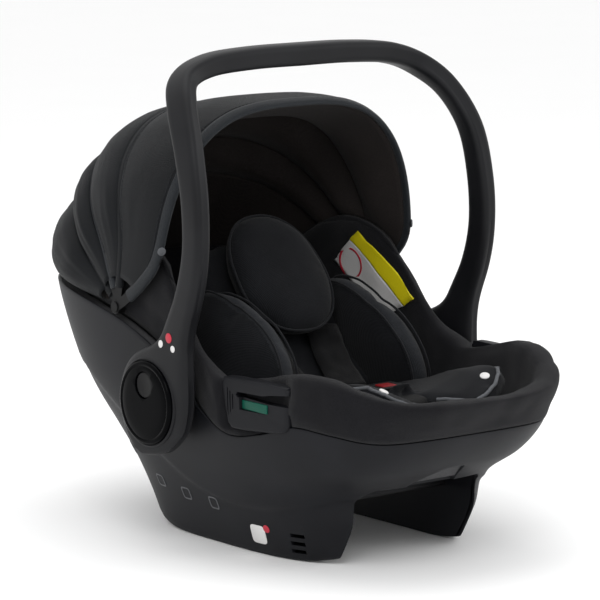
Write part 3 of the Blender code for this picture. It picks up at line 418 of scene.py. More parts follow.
SHELL = moulded_plastic("shell_plastic", (0.0050, 0.0053, 0.0070), (0.0078, 0.0082, 0.0104), 0.50)
GRIP = moulded_plastic("handle_plastic", (0.0062, 0.0064, 0.0076), (0.0092, 0.0095, 0.0110), 0.46,
                       1900.0)
TRIM = moulded_plastic("dark_trim", (0.0030, 0.0030, 0.0033), (0.0048, 0.0048, 0.0052), 0.50)
GLOSS = gloss_plastic("gloss_black", (0.0008, 0.0009, 0.0012))
COVER = woven("cover_weave", (0.0058, 0.0058, 0.0070), (0.0120, 0.0120, 0.0142))
HARNESS_CLOTH = woven("harness_cloth", (0.0028, 0.0028, 0.0032), (0.0060, 0.0060, 0.0068))
CANOPY = woven("canopy_weave", (0.0036, 0.0042, 0.0052), (0.0075, 0.0085, 0.0102), 0.0009,
               0.00012, 0.06, 0.66)
# Satin band for the canopy bows: its sheen is real, but its lighter base colour is partly painted
# highlight along the bow ridges.
SATIN_AND_HIGHLIGHT = woven("canopy_band_painted_highlight", (0.0120, 0.0140, 0.0165), (0.0220, 0.0250, 0.0290), 0.0009,
              0.00012, 0.08, 0.50)
LINING = woven("canopy_lining", (0.0130, 0.0108, 0.0102), (0.0260, 0.0218, 0.0206), 0.0012,
               0.00014, 0.04, 0.80)
JERSEY = knitted("insert_jersey", (0.0042, 0.0045, 0.0056), (0.0090, 0.0096, 0.0114))
# Lighter copy of the insert jersey for the bolsters' edge bands: partly the gusset's own tone, partly
# painted highlight along the edges.
GUSSET_AND_HIGHLIGHT = knitted("insert_gusset_and_highlight", (0.012, 0.013, 0.015), (0.021, 0.0225, 0.026))
PIPING = woven("grey_piping", (0.085, 0.089, 0.096), (0.125, 0.130, 0.140), 0.0010, 0.0001)
DARK_PIPING = woven("dark_piping", (0.0060, 0.0064, 0.0078), (0.0110, 0.0116, 0.0136), 0.0010,
                    0.0001)
WEBBING = ribbed_webbing("harness_webbing", (0.0028, 0.0028, 0.0030), (0.0065, 0.0065, 0.0070))
THREAD = woven("sewing_thread", (0.014, 0.015, 0.018), (0.025, 0.026, 0.030), 0.0008, 0.00005)
STEEL = metal("zinc_steel", (0.55, 0.55, 0.56), 0.32)
# Latch bar steel, darkened as painted shade for its place inside the tunnel.
SHADE_DARKENED_STEEL = metal("latch_steel_painted_shade", (0.035, 0.035, 0.037), 0.50)
GREEN = moulded_plastic("belt_green", (0.003, 0.065, 0.042), (0.004, 0.090, 0.058), 0.38)
YELLOW = printed("label_yellow", (0.88, 0.76, 0.012))
WHITE = printed("label_white", (0.72, 0.71, 0.70))
RED = printed("label_red", (0.50, 0.022, 0.045))
BUTTON_RED = moulded_plastic("button_red", (0.16, 0.006, 0.008), (0.20, 0.008, 0.010), 0.45)
PLATE_GREY = printed("plate_grey", (0.075, 0.078, 0.084))
RUBBER = moulded_plastic("soft_grip", (0.0048, 0.0048, 0.0052), (0.0072, 0.0072, 0.0078), 0.62)

# ---------------------------------------------------------------- mesh helpers


def linked(name, data):
    obj = bpy.data.objects.new(name, data)
    bpy.context.scene.collection.objects.link(obj)
    return obj


def shade(mesh, sharp):
    """Smooth shading up to the sharp angle in degrees."""
    mesh.shade_smooth()
    mesh.set_sharp_from_angle(angle=math.radians(sharp))


def new_piece(name, points, faces, finish, sharp=40.0):
    mesh = bpy.data.meshes.new(name)
    mesh.from_pydata([tuple(p) for p in points], [], faces)
    return dress(name, mesh, finish, sharp)


def dress(name, mesh, finish, sharp=40.0):
    """Object of a mesh, faces outward, shaded smooth up to the sharp angle."""
    bm = bmesh.new()
    bm.from_mesh(mesh)
    bmesh.ops.remove_doubles(bm, verts=bm.verts, dist=1e-6)
    bmesh.ops.recalc_face_normals(bm, faces=bm.faces)
    bm.to_mesh(mesh)
    bm.free()
    mesh.name = name
    mesh.materials.clear()
    mesh.materials.append(finish)
    shade(mesh, sharp)
    return linked(name, mesh)


def grid_faces(rows, columns, wrap=True, wrap_rows=False):
    faces = []
    for r in range(rows if wrap_rows else rows - 1):
        for c in range(columns if wrap else columns - 1):
            d, s = (c + 1) % columns, (r + 1) % rows
            faces.append((r * columns + c, r * columns + d, s * columns + d, s * columns + c))
    return faces


def from_rows(name, rows, finish, wrap=True, wrap_rows=False, poles=(), ends=(), sharp=40.0):
    """Mesh through rows of points. A pole closes an end with a fan, an end with one face."""
    columns = len(rows[0])
    points = [p for row in rows for p in row]
    faces = grid_faces(len(rows), columns, wrap, wrap_rows)
    for which, pole in poles:
        base = 0 if which == "low" else (len(rows) - 1) * columns
        points.append(pole)
        for c in range(columns):
            faces.append((base + c, base + (c + 1) % columns, len(points) - 1))
    for which in ends:
        base = 0 if which == "low" else (len(rows) - 1) * columns
        faces.append(tuple(range(base, base + columns)))
    return new_piece(name, points, faces, finish, sharp)


def settle(obj, sharp=None):
    """Give the object the mesh that its modifiers make."""
    graph = bpy.context.evaluated_depsgraph_get()
    mesh = bpy.data.meshes.new_from_object(obj.evaluated_get(graph))
    obj.modifiers.clear()
    obj.data = mesh
    if sharp is not None:
        shade(mesh, sharp)
    return obj


def modify(obj, kind, **settings):
    modifier = obj.modifiers.new(kind.lower(), kind)
    for key, value in settings.items():
        setattr(modifier, key, value)
    return obj


def cut(obj, *tools):
    """Take each tool's solid away from the object."""
    for tool in tools:
        modify(obj, "BOOLEAN", operation="DIFFERENCE", solver="EXACT", object=tool)
    settle(obj)
    for tool in tools:
        bpy.data.objects.remove(tool)
    return obj


def round_edges(obj, width, segments=2, angle=38.0):
    modify(obj, "BEVEL", width=width, segments=segments, limit_method="ANGLE",
           angle_limit=math.radians(angle), harden_normals=False)
    return settle(obj, 40.0)


def subdivide(obj, levels=1):
    modify(obj, "SUBSURF", levels=levels, render_levels=levels)
    return settle(obj)


def block(name, low, high, finish, bevel=0.0, segments=3):
    low, high = Vector(low), Vector(high)
    corners = [(x, y, z) for x in (low.x, high.x) for y in (low.y, high.y) for z in (low.z, high.z)]
    faces = [(0, 1, 3, 2), (4, 6, 7, 5), (0, 4, 5, 1), (2, 3, 7, 6), (0, 2, 6, 4), (1, 5, 7, 3)]
    obj = new_piece(name, corners, faces, finish)
    return round_edges(obj, bevel, segments) if bevel else obj


def prism(name, outline, axis, low, high, finish):
    """Outline of two coordinates, extruded along axis 0 or 1 from low to high."""
    rows = []
    for level in (low, high):
        if axis == 0:
            rows.append([(level, a, b) for a, b in outline])
        else:
            rows.append([(a, level, b) for a, b in outline])
    return from_rows(name, rows, finish, ends=("low", "high"))


def turned(name, profile, y, z, finish, sides=72, sign=1.0, sharp=40.0):
    """Turned form about an axis across the seat; profile rows are (x, radius)."""
    rows = [[(sign * x, y + r * math.cos(a), z + r * math.sin(a)) for a in full_turns(sides)]
            for x, r in profile if r > 1e-6]
    poles = []
    if profile[0][1] <= 1e-6:
        poles.append(("low", (sign * profile[0][0], y, z)))
    if profile[-1][1] <= 1e-6:
        poles.append(("high", (sign * profile[-1][0], y, z)))
    return from_rows(name, rows, finish, poles=poles, wrap_rows=not poles, sharp=sharp)


def smooth_path(points, per_span, loop=False):
    """Points along a smooth curve through the given ones."""
    pts = [Vector(p) for p in points]
    if loop:
        pts = [pts[-1], *pts, pts[0], pts[1]]
    else:
        pts = [2 * pts[0] - pts[1], *pts, 2 * pts[-1] - pts[-2]]
    out = []
    for a, b, c, d in zip(pts, pts[1:], pts[2:], pts[3:]):
        for k in range(per_span):
            t = k / per_span
            out.append(0.5 * (2 * b + (c - a) * t + (2 * a - 5 * b + 4 * c - d) * t * t
                              + (3 * b - a - 3 * c + d) * t**3))
    if not loop:
        out.append(pts[-2])
    return out


def tangents(path, loop=False):
    last = len(path) - 1
    out = []
    for i in range(len(path)):
        before = path[i - 1] if i or loop else path[0]
        after = path[(i + 1) % len(path)] if i < last or loop else path[last]
        out.append((after - before).normalized())
    return out


def tube(name, path, radius, finish, sides=10, loop=False):
    """Round strand along a path."""
    path = [Vector(p) for p in path]
    runs = tangents(path, loop)
    lift = Vector((0.31, 0.17, 0.93))
    rows = []
    for point, run in zip(path, runs):
        lift = lift - run * lift.dot(run)
        if lift.length < 1e-4:
            lift = run.orthogonal()
        lift.normalize()
        side = run.cross(lift)
        rows.append([point + side * (radius * math.cos(a)) + lift * (radius * math.sin(a))
                     for a in full_turns(sides)])
    if loop:
        return from_rows(name, rows, finish, wrap_rows=True)
    poles = (("low", path[0] - runs[0] * radius * 0.6), ("high", path[-1] + runs[-1] * radius * 0.6))
    return from_rows(name, rows, finish, poles=poles)


def surface_tree(obj):
    graph = bpy.context.evaluated_depsgraph_get()
    return BVHTree.FromObject(obj, graph)


def laid_on(path, tree, lift):
    """Path moved to the nearest surface points and raised by lift."""
    out = []
    for point in path:
        spot, normal, _, _ = tree.find_nearest(Vector(point))
        out.append(spot + normal * lift)
    return out


def ruffle(obj, amount, scale, seed, keep=None):
    """Push each point along its normal by smooth noise; keep(point) says how much of it applies."""
    mesh = obj.data
    offset = Vector((seed * 7.3, seed * 3.1, seed * 5.7))
    normals = [v.normal.copy() for v in mesh.vertices]
    for vertex, normal in zip(mesh.vertices, normals):
        share = keep(vertex.co) if keep else 1.0
        vertex.co += normal * (amount * share * noise.noise(vertex.co * scale + offset))
    mesh.update()
    return obj


def join(name, parts):
    """One piece of several meshes that share a finish."""
    bm = bmesh.new()
    for part in parts:
        bm.from_mesh(part.data)
    mesh = bpy.data.meshes.new(name)
    bm.to_mesh(mesh)
    bm.free()
    finish = parts[0].data.materials[0]
    for part in parts:
        bpy.data.objects.remove(part)
    mesh.materials.append(finish)
    shade(mesh, 40.0)
    return linked(name, mesh)


def put(obj, body, slot, *nodes):
    """Ride on a body and stand for CAD nodes, which are hidden; the slot is not used."""
    if nodes:
        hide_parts(*nodes)
    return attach(obj, body)


# ---------------------------------------------------------------- sewing and repeated pieces


class Tree:
    """Geometry node tree with named inputs, ending in realized instances with one finish."""

    def __init__(self, name, inputs):
        self.group = bpy.data.node_groups.new(name, "GeometryNodeTree")
        for label_text, kind, value in inputs:
            socket = self.group.interface.new_socket(label_text, in_out="INPUT", socket_type=kind)
            if value is not None:
                socket.default_value = value
        self.given = self.add("NodeGroupInput")

    def add(self, kind, **settings):
        node = self.group.nodes.new(kind)
        for key, value in settings.items():
            setattr(node, key, value)
        return node

    def link(self, source, output, target, socket):
        self.group.links.new(source.outputs[output], target.inputs[socket])

    def close(self, instance, finish):
        """Realize the instances, set their material and hand them out."""
        self.group.interface.new_socket("Result", in_out="OUTPUT", socket_type="NodeSocketGeometry")
        realize = self.add("GeometryNodeRealizeInstances")
        dye = self.add("GeometryNodeSetMaterial")
        dye.inputs["Material"].default_value = finish
        self.link(instance, "Instances", realize, "Geometry")
        self.link(realize, "Geometry", dye, "Geometry")
        self.link(dye, "Geometry", self.add("NodeGroupOutput"), "Result")
        return self.group


def sewing_tree(finish):
    """Stitches spaced along the edges of a mesh line."""
    tree = Tree("sewing", (("Line", "NodeSocketGeometry", None), ("Spacing", "NodeSocketFloat", 0.0050),
                           ("Stitch Length", "NodeSocketFloat", 0.0034),
                           ("Thread Radius", "NodeSocketFloat", 0.0005)))
    curve = tree.add("GeometryNodeMeshToCurve")
    resample = tree.add("GeometryNodeResampleCurve", mode="LENGTH")
    tangent = tree.add("GeometryNodeInputTangent")
    align = tree.add("FunctionNodeAlignRotationToVector")
    stitch = tree.add("GeometryNodeMeshCylinder")
    stitch.inputs["Vertices"].default_value = 6
    instance = tree.add("GeometryNodeInstanceOnPoints")
    tree.link(tree.given, "Line", curve, "Mesh")
    tree.link(curve, "Curve", resample, "Curve")
    tree.link(tree.given, "Spacing", resample, "Length")
    tree.link(resample, "Curve", instance, "Points")
    tree.link(tangent, "Tangent", align, "Vector")
    tree.link(align, "Rotation", instance, "Rotation")
    tree.link(tree.given, "Thread Radius", stitch, "Radius")
    tree.link(tree.given, "Stitch Length", stitch, "Depth")
    tree.link(stitch, "Mesh", instance, "Instance")
    return tree.close(instance, finish)


SEWING = sewing_tree(THREAD)


def grow(name, mesh, tree, values):
    """Run a node tree on a mesh with its named inputs set, and keep the result as plain mesh."""
    obj = linked(name, mesh)
    modifier = obj.modifiers.new("grow", "NODES")
    modifier.node_group = tree
    for item in tree.interface.items_tree:
        if item.item_type == "SOCKET" and item.in_out == "INPUT" and item.name in values:
            modifier[item.identifier] = values[item.name]
    settle(obj)
    obj.data.shade_smooth()
    return obj


def sewn(name, paths, spacing=0.0050, length=0.0034, radius=0.0005):
    points, edges = [], []
    for path in paths:
        base = len(points)
        points += [tuple(p) for p in path]
        edges += [(base + i, base + i + 1) for i in range(len(path) - 1)]
    mesh = bpy.data.meshes.new(name)
    mesh.from_pydata(points, edges, [])
    return grow(name, mesh, SEWING, {"Spacing": spacing, "Stitch Length": length,
                                     "Thread Radius": radius})


def row_tree(finish):
    """A block repeated along a straight row."""
    tree = Tree("row", (("Block", "NodeSocketGeometry", None), ("Count", "NodeSocketInt", 5),
                        ("Step", "NodeSocketVector", None)))
    line = tree.add("GeometryNodeMeshLine", mode="OFFSET")
    instance = tree.add("GeometryNodeInstanceOnPoints")
    tree.link(tree.given, "Count", line, "Count")
    tree.link(tree.given, "Step", line, "Offset")
    tree.link(line, "Mesh", instance, "Points")
    tree.link(tree.given, "Block", instance, "Instance")
    return tree.close(instance, finish)


def in_row(name, obj, count, step, finish):
    mesh = obj.data
    bpy.data.objects.remove(obj)
    return grow(name, mesh, row_tree(finish), {"Count": count, "Step": step})


# ---------------------------------------------------------------- shell


def rocker_z(y):
    """Height of the runners' lower edge."""
    over = max(-0.125 - y, y - 0.055, 0.0)
    return 0.0075 * (over / 0.060) ** 2


def shell_inset(y, z):
    """The skirt below the crease stands back from the upper shell."""
    line = crease_z(y)
    return CREASE_STEP * (1 - smooth_step(line - 0.0035, line + 0.0035, z))


def make_shell():
    turns = even_turns(176)
    foot = [at_height(t, CREASE_STEP, rocker_z).z for t in turns]
    inner_foot = [at_height(t, RUNNER_WALL, rocker_z).z for t in turns]
    rim = [at_height(t, 0.0, rim_z).z for t in turns]
    rows = []

    def add_row(heights, inset):
        rows.append([(*plan_point(t, z, inset), z) for t, z in zip(turns, heights)])

    for inset in (0.090, 0.045, RUNNER_WALL + 0.003):
        add_row([UNDERSIDE_Z] * len(turns), inset)
    for share in (0.75, 0.5, 0.25):
        add_row([blend(z, UNDERSIDE_Z, share) for z in inner_foot], RUNNER_WALL + CREASE_STEP)
    for lift, inset in ((0.0, RUNNER_WALL + 0.0010), (0.0, 0.0022), (0.0009, 0.0005)):
        add_row([z + lift for z in foot], CREASE_STEP + inset)
    for k in range(1, SHELL_RISE):
        row = []
        for t, low, high in zip(turns, foot, rim):
            z = blend(low + 0.0015, high - 0.0016, k / (SHELL_RISE - 1))
            y = plan_point(t, z)[1]
            row.append((*plan_point(t, z, shell_inset(y, z)), z))
        rows.append(row)
    for drop, inset in ((0.0006, 0.0004), (0.0, 0.0012), (0.0, SHELL_WALL - 0.0010),
                        (0.0008, SHELL_WALL)):
        add_row([z - drop for z in rim], inset)
    for share in (0.8, 0.6, 0.4, 0.2, 0.0):
        add_row([blend(SHELL_FLOOR, z, share) for z in rim], SHELL_WALL)
    add_row([SHELL_FLOOR] * len(turns), 0.09)
    rows = [[(x, y + HUB_Y, z) for x, y, z in row] for row in rows]
    shell = from_rows("carrier_shell", rows, SHELL, sharp=50,
                      poles=(("low", (0, HUB_Y, UNDERSIDE_Z)), ("high", (0, HUB_Y, SHELL_FLOOR))))
    half = TUNNEL_HALF_WIDTH
    roof = UNDERSIDE_Z - 0.0004
    mouth = [(-half, -0.02), (-half, roof - 0.014), (-half + 0.005, roof - 0.005),
             (-half + 0.014, roof), (half - 0.014, roof), (half - 0.005, roof - 0.005),
             (half, roof - 0.014), (half, -0.02)]
    chin = [(-0.034, 0.05), (-0.034, 0.091), (-0.014, 0.114), (0.014, 0.114), (0.034, 0.091),
            (0.034, 0.05)]
    tools = [prism("mouth", mouth, 1, -0.5, 0.5, SHELL),
             prism("chin", chin, 1, -0.5, -0.226 + HUB_Y, SHELL)]
    for _, sign in SIDES:
        for k in range(3):
            z = VENT_PITCH + VENT_PITCH * k
            low_x, high_x = sorted((sign * 0.09, sign * 0.20))
            tools.append(block("vent", (low_x, -0.152 - 0.002 * k, z),
                               (high_x, -0.134 - 0.002 * k, z + VENT_HEIGHT), SHELL))
    cut(shell, *tools)
    round_edges(shell, 0.0011, 2, 42)
    return put(shell, "seat", "shell_plastic", "outer_shell")


def wall_end(z, way):
    """Where a tunnel wall meets the front (-1) or the back (1) of the shell."""
    half, front, back = shell_size(z)
    across = (TUNNEL_HALF_WIDTH + RUNNER_WALL) / (half - CREASE_STEP)
    share = (1 - across**SHELL_SQUARENESS) ** (1 / SHELL_SQUARENESS)
    return -(front - CREASE_STEP - 0.001) * share if way < 0 else (back - CREASE_STEP - 0.001) * share


def make_under_works():
    """Tunnel walls and the ribs inside the runners."""
    walls = []
    for _, sign in SIDES:
        low_x, high_x = sorted((sign * TUNNEL_HALF_WIDTH, sign * (TUNNEL_HALF_WIDTH + RUNNER_WALL)))
        ends = [wall_end(0.004, -1), wall_end(0.004, 1)]
        outline = [(y, rocker_z(y) + 0.0004) for y in np.linspace(*ends, 25)]
        front_levels, back_levels = (np.linspace(rocker_z(y) + 0.006, UNDERSIDE_Z, 9) for y in ends)
        outline += [(wall_end(z, 1), z) for z in back_levels]
        outline += [(wall_end(z, -1), z) for z in reversed(front_levels)]
        walls.append(prism("wall", [(y + HUB_Y, z) for y, z in outline], 0, low_x, high_x, SHELL))
    put(join("tunnel_walls", walls), "seat", "shell_plastic")
    for side, sign in SIDES:
        low_x, high_x = sorted((sign * (TUNNEL_HALF_WIDTH + 0.004), sign * 0.114))
        rib = block("rib", (low_x, -0.126, 0.016), (high_x, -0.1225, UNDERSIDE_Z), SHELL)
        ribs = in_row(f"runner_ribs_{side}", rib, 7, (0.0, 0.036, 0.0), SHELL)
        put(ribs, "seat", "shell_plastic")


# ---------------------------------------------------------------- padded cover


def guide_share(y, z):
    """1 where the cover makes room for a belt guide."""
    along = 1 - smooth_step(GUIDE_HALF - 0.004, GUIDE_HALF + 0.005, abs(y - GUIDE_Y))
    return along * smooth_step(0.150, 0.160, z)


def cover_outset(y, z, share):
    """Inset of the roll's outer face: swollen in front, tucked in under the canopy."""
    tuck = smooth_step(-0.100, 0.020, y)
    swell = ROLL_SWELL * math.sin(math.pi * min(1.0, max(0.0, share))) ** 0.7 * (1 - 0.6 * tuck)
    return RIM_TUCK * tuck - swell + 0.0105 * guide_share(y, z) + lean(z)


def lean(z):
    return COVER_LEAN * smooth_step(0.275, 0.330, z)


def make_cover():
    turns = even_turns(208)
    rows = []

    def row_at(height, inset):
        row = []
        for t in turns:
            z = HUB_Z
            for _ in range(8):
                x, y = plan_point(t, z, 0.0)
                z = height(y)
            row.append((*plan_point(t, z, inset(y, z)), z))
        rows.append(row)

    def between(share):
        return lambda y: blend(rim_z(y) + 0.0012, cover_z(y), share)

    row_at(lambda y: rim_z(y) - 0.0010, lambda y, z: cover_outset(y, z, 0.0) + 0.0060)
    row_at(between(-0.01), lambda y, z: cover_outset(y, z, 0.0) + 0.0022)
    for k in range(11):
        share = k / 10 * 0.90
        row_at(between(share), lambda y, z, s=share: cover_outset(y, z, s + 0.06) + 0.0002)
    row_at(between(0.955), lambda y, z: cover_outset(y, z, 0.98) + 0.0016)
    row_at(between(0.992), lambda y, z: cover_outset(y, z, 1.0) + 0.0050)
    row_at(between(1.0), lambda y, z: cover_outset(y, z, 1.0) * 0.5 + 0.0110)
    row_at(between(0.985), lambda y, z: max(cover_outset(y, z, 1.0) * 0.4, 0.0) + 0.0175)
    row_at(between(0.93), lambda y, z: COVER_INSET - 0.0020 + lean(z))

    def down(share):
        return lambda y: blend(cover_z(y) * 0.93 + rim_z(y) * 0.07, COVER_FLOOR + 0.016, share)

    for k in range(1, 15):
        share = k / 14
        sag = 0.0022 * math.sin(math.pi * share)
        row_at(down(share), lambda y, z, s=sag: COVER_INSET + s + lean(z))
    for lift, inset in ((0.008, 0.0035), (0.0025, 0.009), (0.0, 0.018), (0.0, 0.06), (0.0, 0.12)):
        row_at(lambda y, h=lift: COVER_FLOOR + h, lambda y, z, i=inset: COVER_INSET + i)
    rows = [[(x, y + HUB_Y, z) for x, y, z in row] for row in rows]
    cover = from_rows("padded_cover", rows, COVER, sharp=180,
                      poles=(("high", (0, HUB_Y, COVER_FLOOR)),))
    outward(cover, Vector((0, -0.40, 0.20)))

    def loose(point):
        above_rim = point.z - rim_z(point.y - HUB_Y)
        return (smooth_step(COVER_FLOOR + 0.01, COVER_FLOOR + 0.04, point.z)
                * smooth_step(0.002, 0.014, abs(above_rim)))

    ruffle(cover, 0.0032, 17.0, 1, loose)
    ruffle(cover, 0.0013, 48.0, 2, loose)
    creases(cover)
    modify(cover, "SOLIDIFY", thickness=0.0022, offset=-1.0)
    settle(cover)
    put(cover, "seat", "cover_fabric", "seat_cover", "cover_rim")
    return cover


def outward(obj, outside):
    """Turn the faces so that the one nearest to an outside point faces it."""
    mesh = obj.data
    nearest = min(mesh.polygons, key=lambda f: (f.center - outside).length)
    if nearest.normal.dot(outside - nearest.center) < 0:
        mesh.flip_normals()


def creases(cover):
    """Soft folds where the cover is pulled round the foot end and up to the hubs."""
    folds = []
    for sign in (-1, 1):
        folds += [((sign * 0.165, -0.245, 0.20), (sign * 0.5, 0.1, 1.0), 0.0022, 0.011),
                  ((sign * 0.150, -0.275, 0.20), (sign * 0.3, 0.2, 1.0), 0.0026, 0.013),
                  ((sign * 0.185, -0.070, 0.20), (0.0, 0.6, 0.8), 0.0024, 0.012),
                  ((sign * 0.182, -0.030, 0.235), (0.0, 0.8, 0.6), 0.0020, 0.010),
                  ((sign * 0.176, 0.045, 0.26), (0.0, 0.9, 0.3), 0.0022, 0.012)]
    mesh = cover.data
    normals = [v.normal.copy() for v in mesh.vertices]
    for vertex, normal in zip(mesh.vertices, normals):
        push = 0.0
        for spot, way, depth, width in folds:
            offset = vertex.co - Vector(spot)
            way = Vector(way).normalized()
            along = offset.dot(way)
            off = (offset - way * along).length
            if abs(along) < 0.06 and off < 0.05:
                fade = 1 - smooth_step(0.02, 0.06, abs(along))
                fade *= smooth_step(0.002, 0.014, vertex.co.z - rim_z(vertex.co.y - HUB_Y))
                push -= depth * fade * math.exp(-(off / width) ** 2 * 3)
        vertex.co += normal * push
    mesh.update()


# ---------------------------------------------------------------- handle


def handle_line():
    """Centre line from below the left hub, over the bar, to below the right one."""
    left = [
        (HANDLE_HALF_WIDTH - 0.0026, 0.0235, HUB_Z - 0.0550),
        (HANDLE_HALF_WIDTH - 0.0026, 0.0120, HUB_Z - 0.0280),
        (HANDLE_HALF_WIDTH - 0.0026, 0.0, HUB_Z),
        (HANDLE_HALF_WIDTH - 0.0022, -0.0170, HUB_Z + 0.0310),
        (HANDLE_HALF_WIDTH - 0.0008, -0.0440, HUB_Z + 0.0800),
        (HANDLE_HALF_WIDTH, -0.0665, HUB_Z + 0.1250),
        (HANDLE_HALF_WIDTH - 0.0005, -HANDLE_BOW, HUB_Z + 0.1740),
        (HANDLE_HALF_WIDTH - 0.0018, -HANDLE_BOW * 0.97, HUB_Z + 0.2300),
        (HANDLE_HALF_WIDTH - 0.0050, -HANDLE_BOW * 0.78, HUB_Z + 0.2860),
        (HANDLE_HALF_WIDTH - 0.0170, -HANDLE_BOW * 0.42, HUB_Z + 0.3300),
        (0.1690, -0.0060, HANDLE_BAR_Z - 0.0200),
        (0.1300, 0.0025, HANDLE_BAR_Z - 0.0055),
        (0.0700, 0.0035, HANDLE_BAR_Z - 0.0005),
        (0.0, 0.0035, HANDLE_BAR_Z),
    ]
    right = [(-x, y, z) for x, y, z in reversed(left[:-1])]
    return smooth_path([(x, y + HUB_Y, z) for x, y, z in left + right], 9)


def edge_reach(point, way, width, gap, soft):
    """Distance from the handle's line to its edge, the band flowing softly into the round boss."""
    low, high = 0.0, 0.12
    for _ in range(22):
        middle = (low + high) / 2
        spot = point + way * middle
        boss = math.hypot(spot.y - HUB_Y, spot.z - HUB_Z) - BOSS_RADIUS
        band = middle - width + gap
        mix = max(soft - abs(boss - band), 0.0) / soft
        if min(boss, band) - mix * mix * soft / 4 < 0:
            low = middle
        else:
            high = middle
    return low


def make_handle():
    path = handle_line()
    runs = tangents(path)
    length = np.concatenate([[0], np.cumsum([(b - a).length for a, b in zip(path, path[1:])])])
    sides = 36
    rows = []
    for point, run, at in zip(path, runs, length):
        foot = min(at, length[-1] - at)
        hub_gap = math.hypot(point.y - HUB_Y, point.z - HUB_Z)
        share = min(1.0, foot / (length[-1] / 2))
        width = float(np.interp(share, (0.0, 0.22, 0.40, 0.65, 0.80, 1.0),
                                (0.0235, 0.0195, 0.0168, 0.0165, 0.0170, 0.0175)))
        thick = float(np.interp(share, (0.0, 0.20, 0.40, 0.65, 0.80, 1.0),
                                (0.0100, 0.0098, 0.0100, 0.0112, 0.0126, 0.0130)))
        boss = 1 - smooth_step(0.050, 0.085, hub_gap) if abs(point.x) > 0.18 else 0.0
        thick = blend(thick, (BOSS_OUT - BOSS_IN) / 2, boss)
        out = Vector((point.x, 0.0, max(0.0, point.z - HUB_Z - 0.18)))
        out = (out - run * out.dot(run)).normalized()
        fore = run.cross(out).normalized()
        if fore.y > 0:
            fore = -fore
        gap = 0.06 * (1 - smooth_step(0.010, 0.065, foot))
        front = edge_reach(point, fore, width, gap, 0.075)
        back = edge_reach(point, -fore, width, gap, 0.030)
        row = []
        for k, turn in enumerate(full_turns(sides)):
            c = math.cos(turn)
            across = signed_power(c, 0.50)
            rise = signed_power(math.sin(turn), 0.62)
            groove = 0.0011 if k in (0, sides // 2) else 0.0
            row.append(point + fore * ((front if c > 0 else back) - groove) * across
                       + out * (thick * rise))
        rows.append(row)
    handle = from_rows("carry_handle", rows, GRIP, ends=("low", "high"), sharp=32)
    put(handle, "handle", "handle_plastic", "handle_outer_shell", "handle_inner_shell")


def make_hub_caps():
    face, r = CAP_FACE, CAP_RADIUS
    for side, sign in SIDES:
        profile = [(BOSS_OUT - 0.006, 0.0), (BOSS_OUT - 0.006, r - 0.004), (BOSS_OUT - 0.005, r),
                   (face - 0.0040, r), (face - 0.0022, r - 0.0005), (face - 0.0009, r - 0.0016),
                   (face - 0.0003, r - 0.0036), (face - 0.0008, r - 0.0050),
                   (face - 0.0012, r - 0.0060), (face - 0.0008, r - 0.0072),
                   (face - 0.0002, r - 0.0150), (face, r * 0.45), (face, 0.0)]
        cap = turned(f"hub_face_{side}", profile, HUB_Y, HUB_Z, GLOSS, 96, sign, 50)
        outline = [(face - 0.0098, 0.0), (face - 0.0098, 0.0154), (face + 0.01, 0.0154),
                   (face + 0.01, 0.0)]
        for piece in (cap, bpy.data.objects["carry_handle"]):
            cut(piece, turned("well", outline, HUB_Y, BUTTON_Z, GLOSS, 64, sign))
        round_edges(cap, 0.0007, 2, 45)
        put(cap, "handle", "gloss_black", f"hub_cap_{side}")
        top = face - 0.0014
        profile = [(face - 0.0046, 0.0), (face - 0.0046, 0.0146), (top - 0.0010, 0.0146),
                   (top - 0.0003, 0.0142), (top, 0.0132), (top - 0.0008, 0.0090),
                   (top - 0.0013, 0.0)]
        button = turned(f"hub_button_{side}", profile, HUB_Y, BUTTON_Z, TRIM, 48, sign, 50)
        put(button, f"handle_button_{side}", "dark_plastic", f"release_button_{side}")
        collar = [(BOSS_OUT - 0.0010, r + 0.0004), (BOSS_OUT + 0.0006, r + 0.0008),
                  (BOSS_OUT + 0.0010, r + 0.0018), (BOSS_OUT + 0.0004, r + 0.0030),
                  (BOSS_OUT - 0.0012, r + 0.0036)]
        ring = turned(f"hub_collar_{side}", collar, HUB_Y, HUB_Z, GRIP, 96, sign, 60)
        put(ring, "handle", "handle_plastic")


# ---------------------------------------------------------------- canopy


def bow_size(k):
    half = CANOPY_HALF_WIDTH - BOW_PITCH * k
    radius = float(np.interp(k, range(5), BOW_RADIUS))
    if k < 1:
        radius = BOW_RADIUS[1] + (BOW_RADIUS[0] - BOW_RADIUS[1]) * (1 - k) ** 2
    return half, radius


def canopy_point(k, angle, t, lift=0.0):
    """Point on the canopy at an angle back from upright; t runs over the arch."""
    half, radius = bow_size(k)
    half, radius = half + lift, radius + lift
    power = 2.0 / CANOPY_SQUARENESS
    x = half * signed_power(math.cos(t), power)
    share = abs(math.sin(t)) ** power
    belly = float(np.interp(k, range(4), BELLY_SHARE)) if k < 3 else 0.0
    rise = share / 0.35
    mix = max(0.22 - abs(rise - 1.0), 0.0) / 0.22
    hook = CANOPY_BELLY * belly * (1.0 - share) * (min(1.0, rise) - mix * mix * 0.22 / 4)
    turn = math.radians(angle)
    y = PIVOT_Y + radius * share * math.sin(turn) - hook * math.cos(turn)
    z = PIVOT_Z + radius * share * math.cos(turn) + hook * math.sin(turn)
    return Vector((x, y + HUB_Y, z))


def arch_steps(start, count):
    """Parameters of evenly spaced points over the front bow's arch."""
    low = math.asin(start ** (CANOPY_SQUARENESS / 2))
    fine = np.linspace(low, math.pi - low, 2001)
    points = np.array([canopy_point(1.0, 10.0, t) for t in fine])
    run = np.concatenate([[0], np.cumsum(np.linalg.norm(np.diff(points, axis=0), axis=1))])
    return np.interp(np.linspace(0, run[-1], count), run, fine)


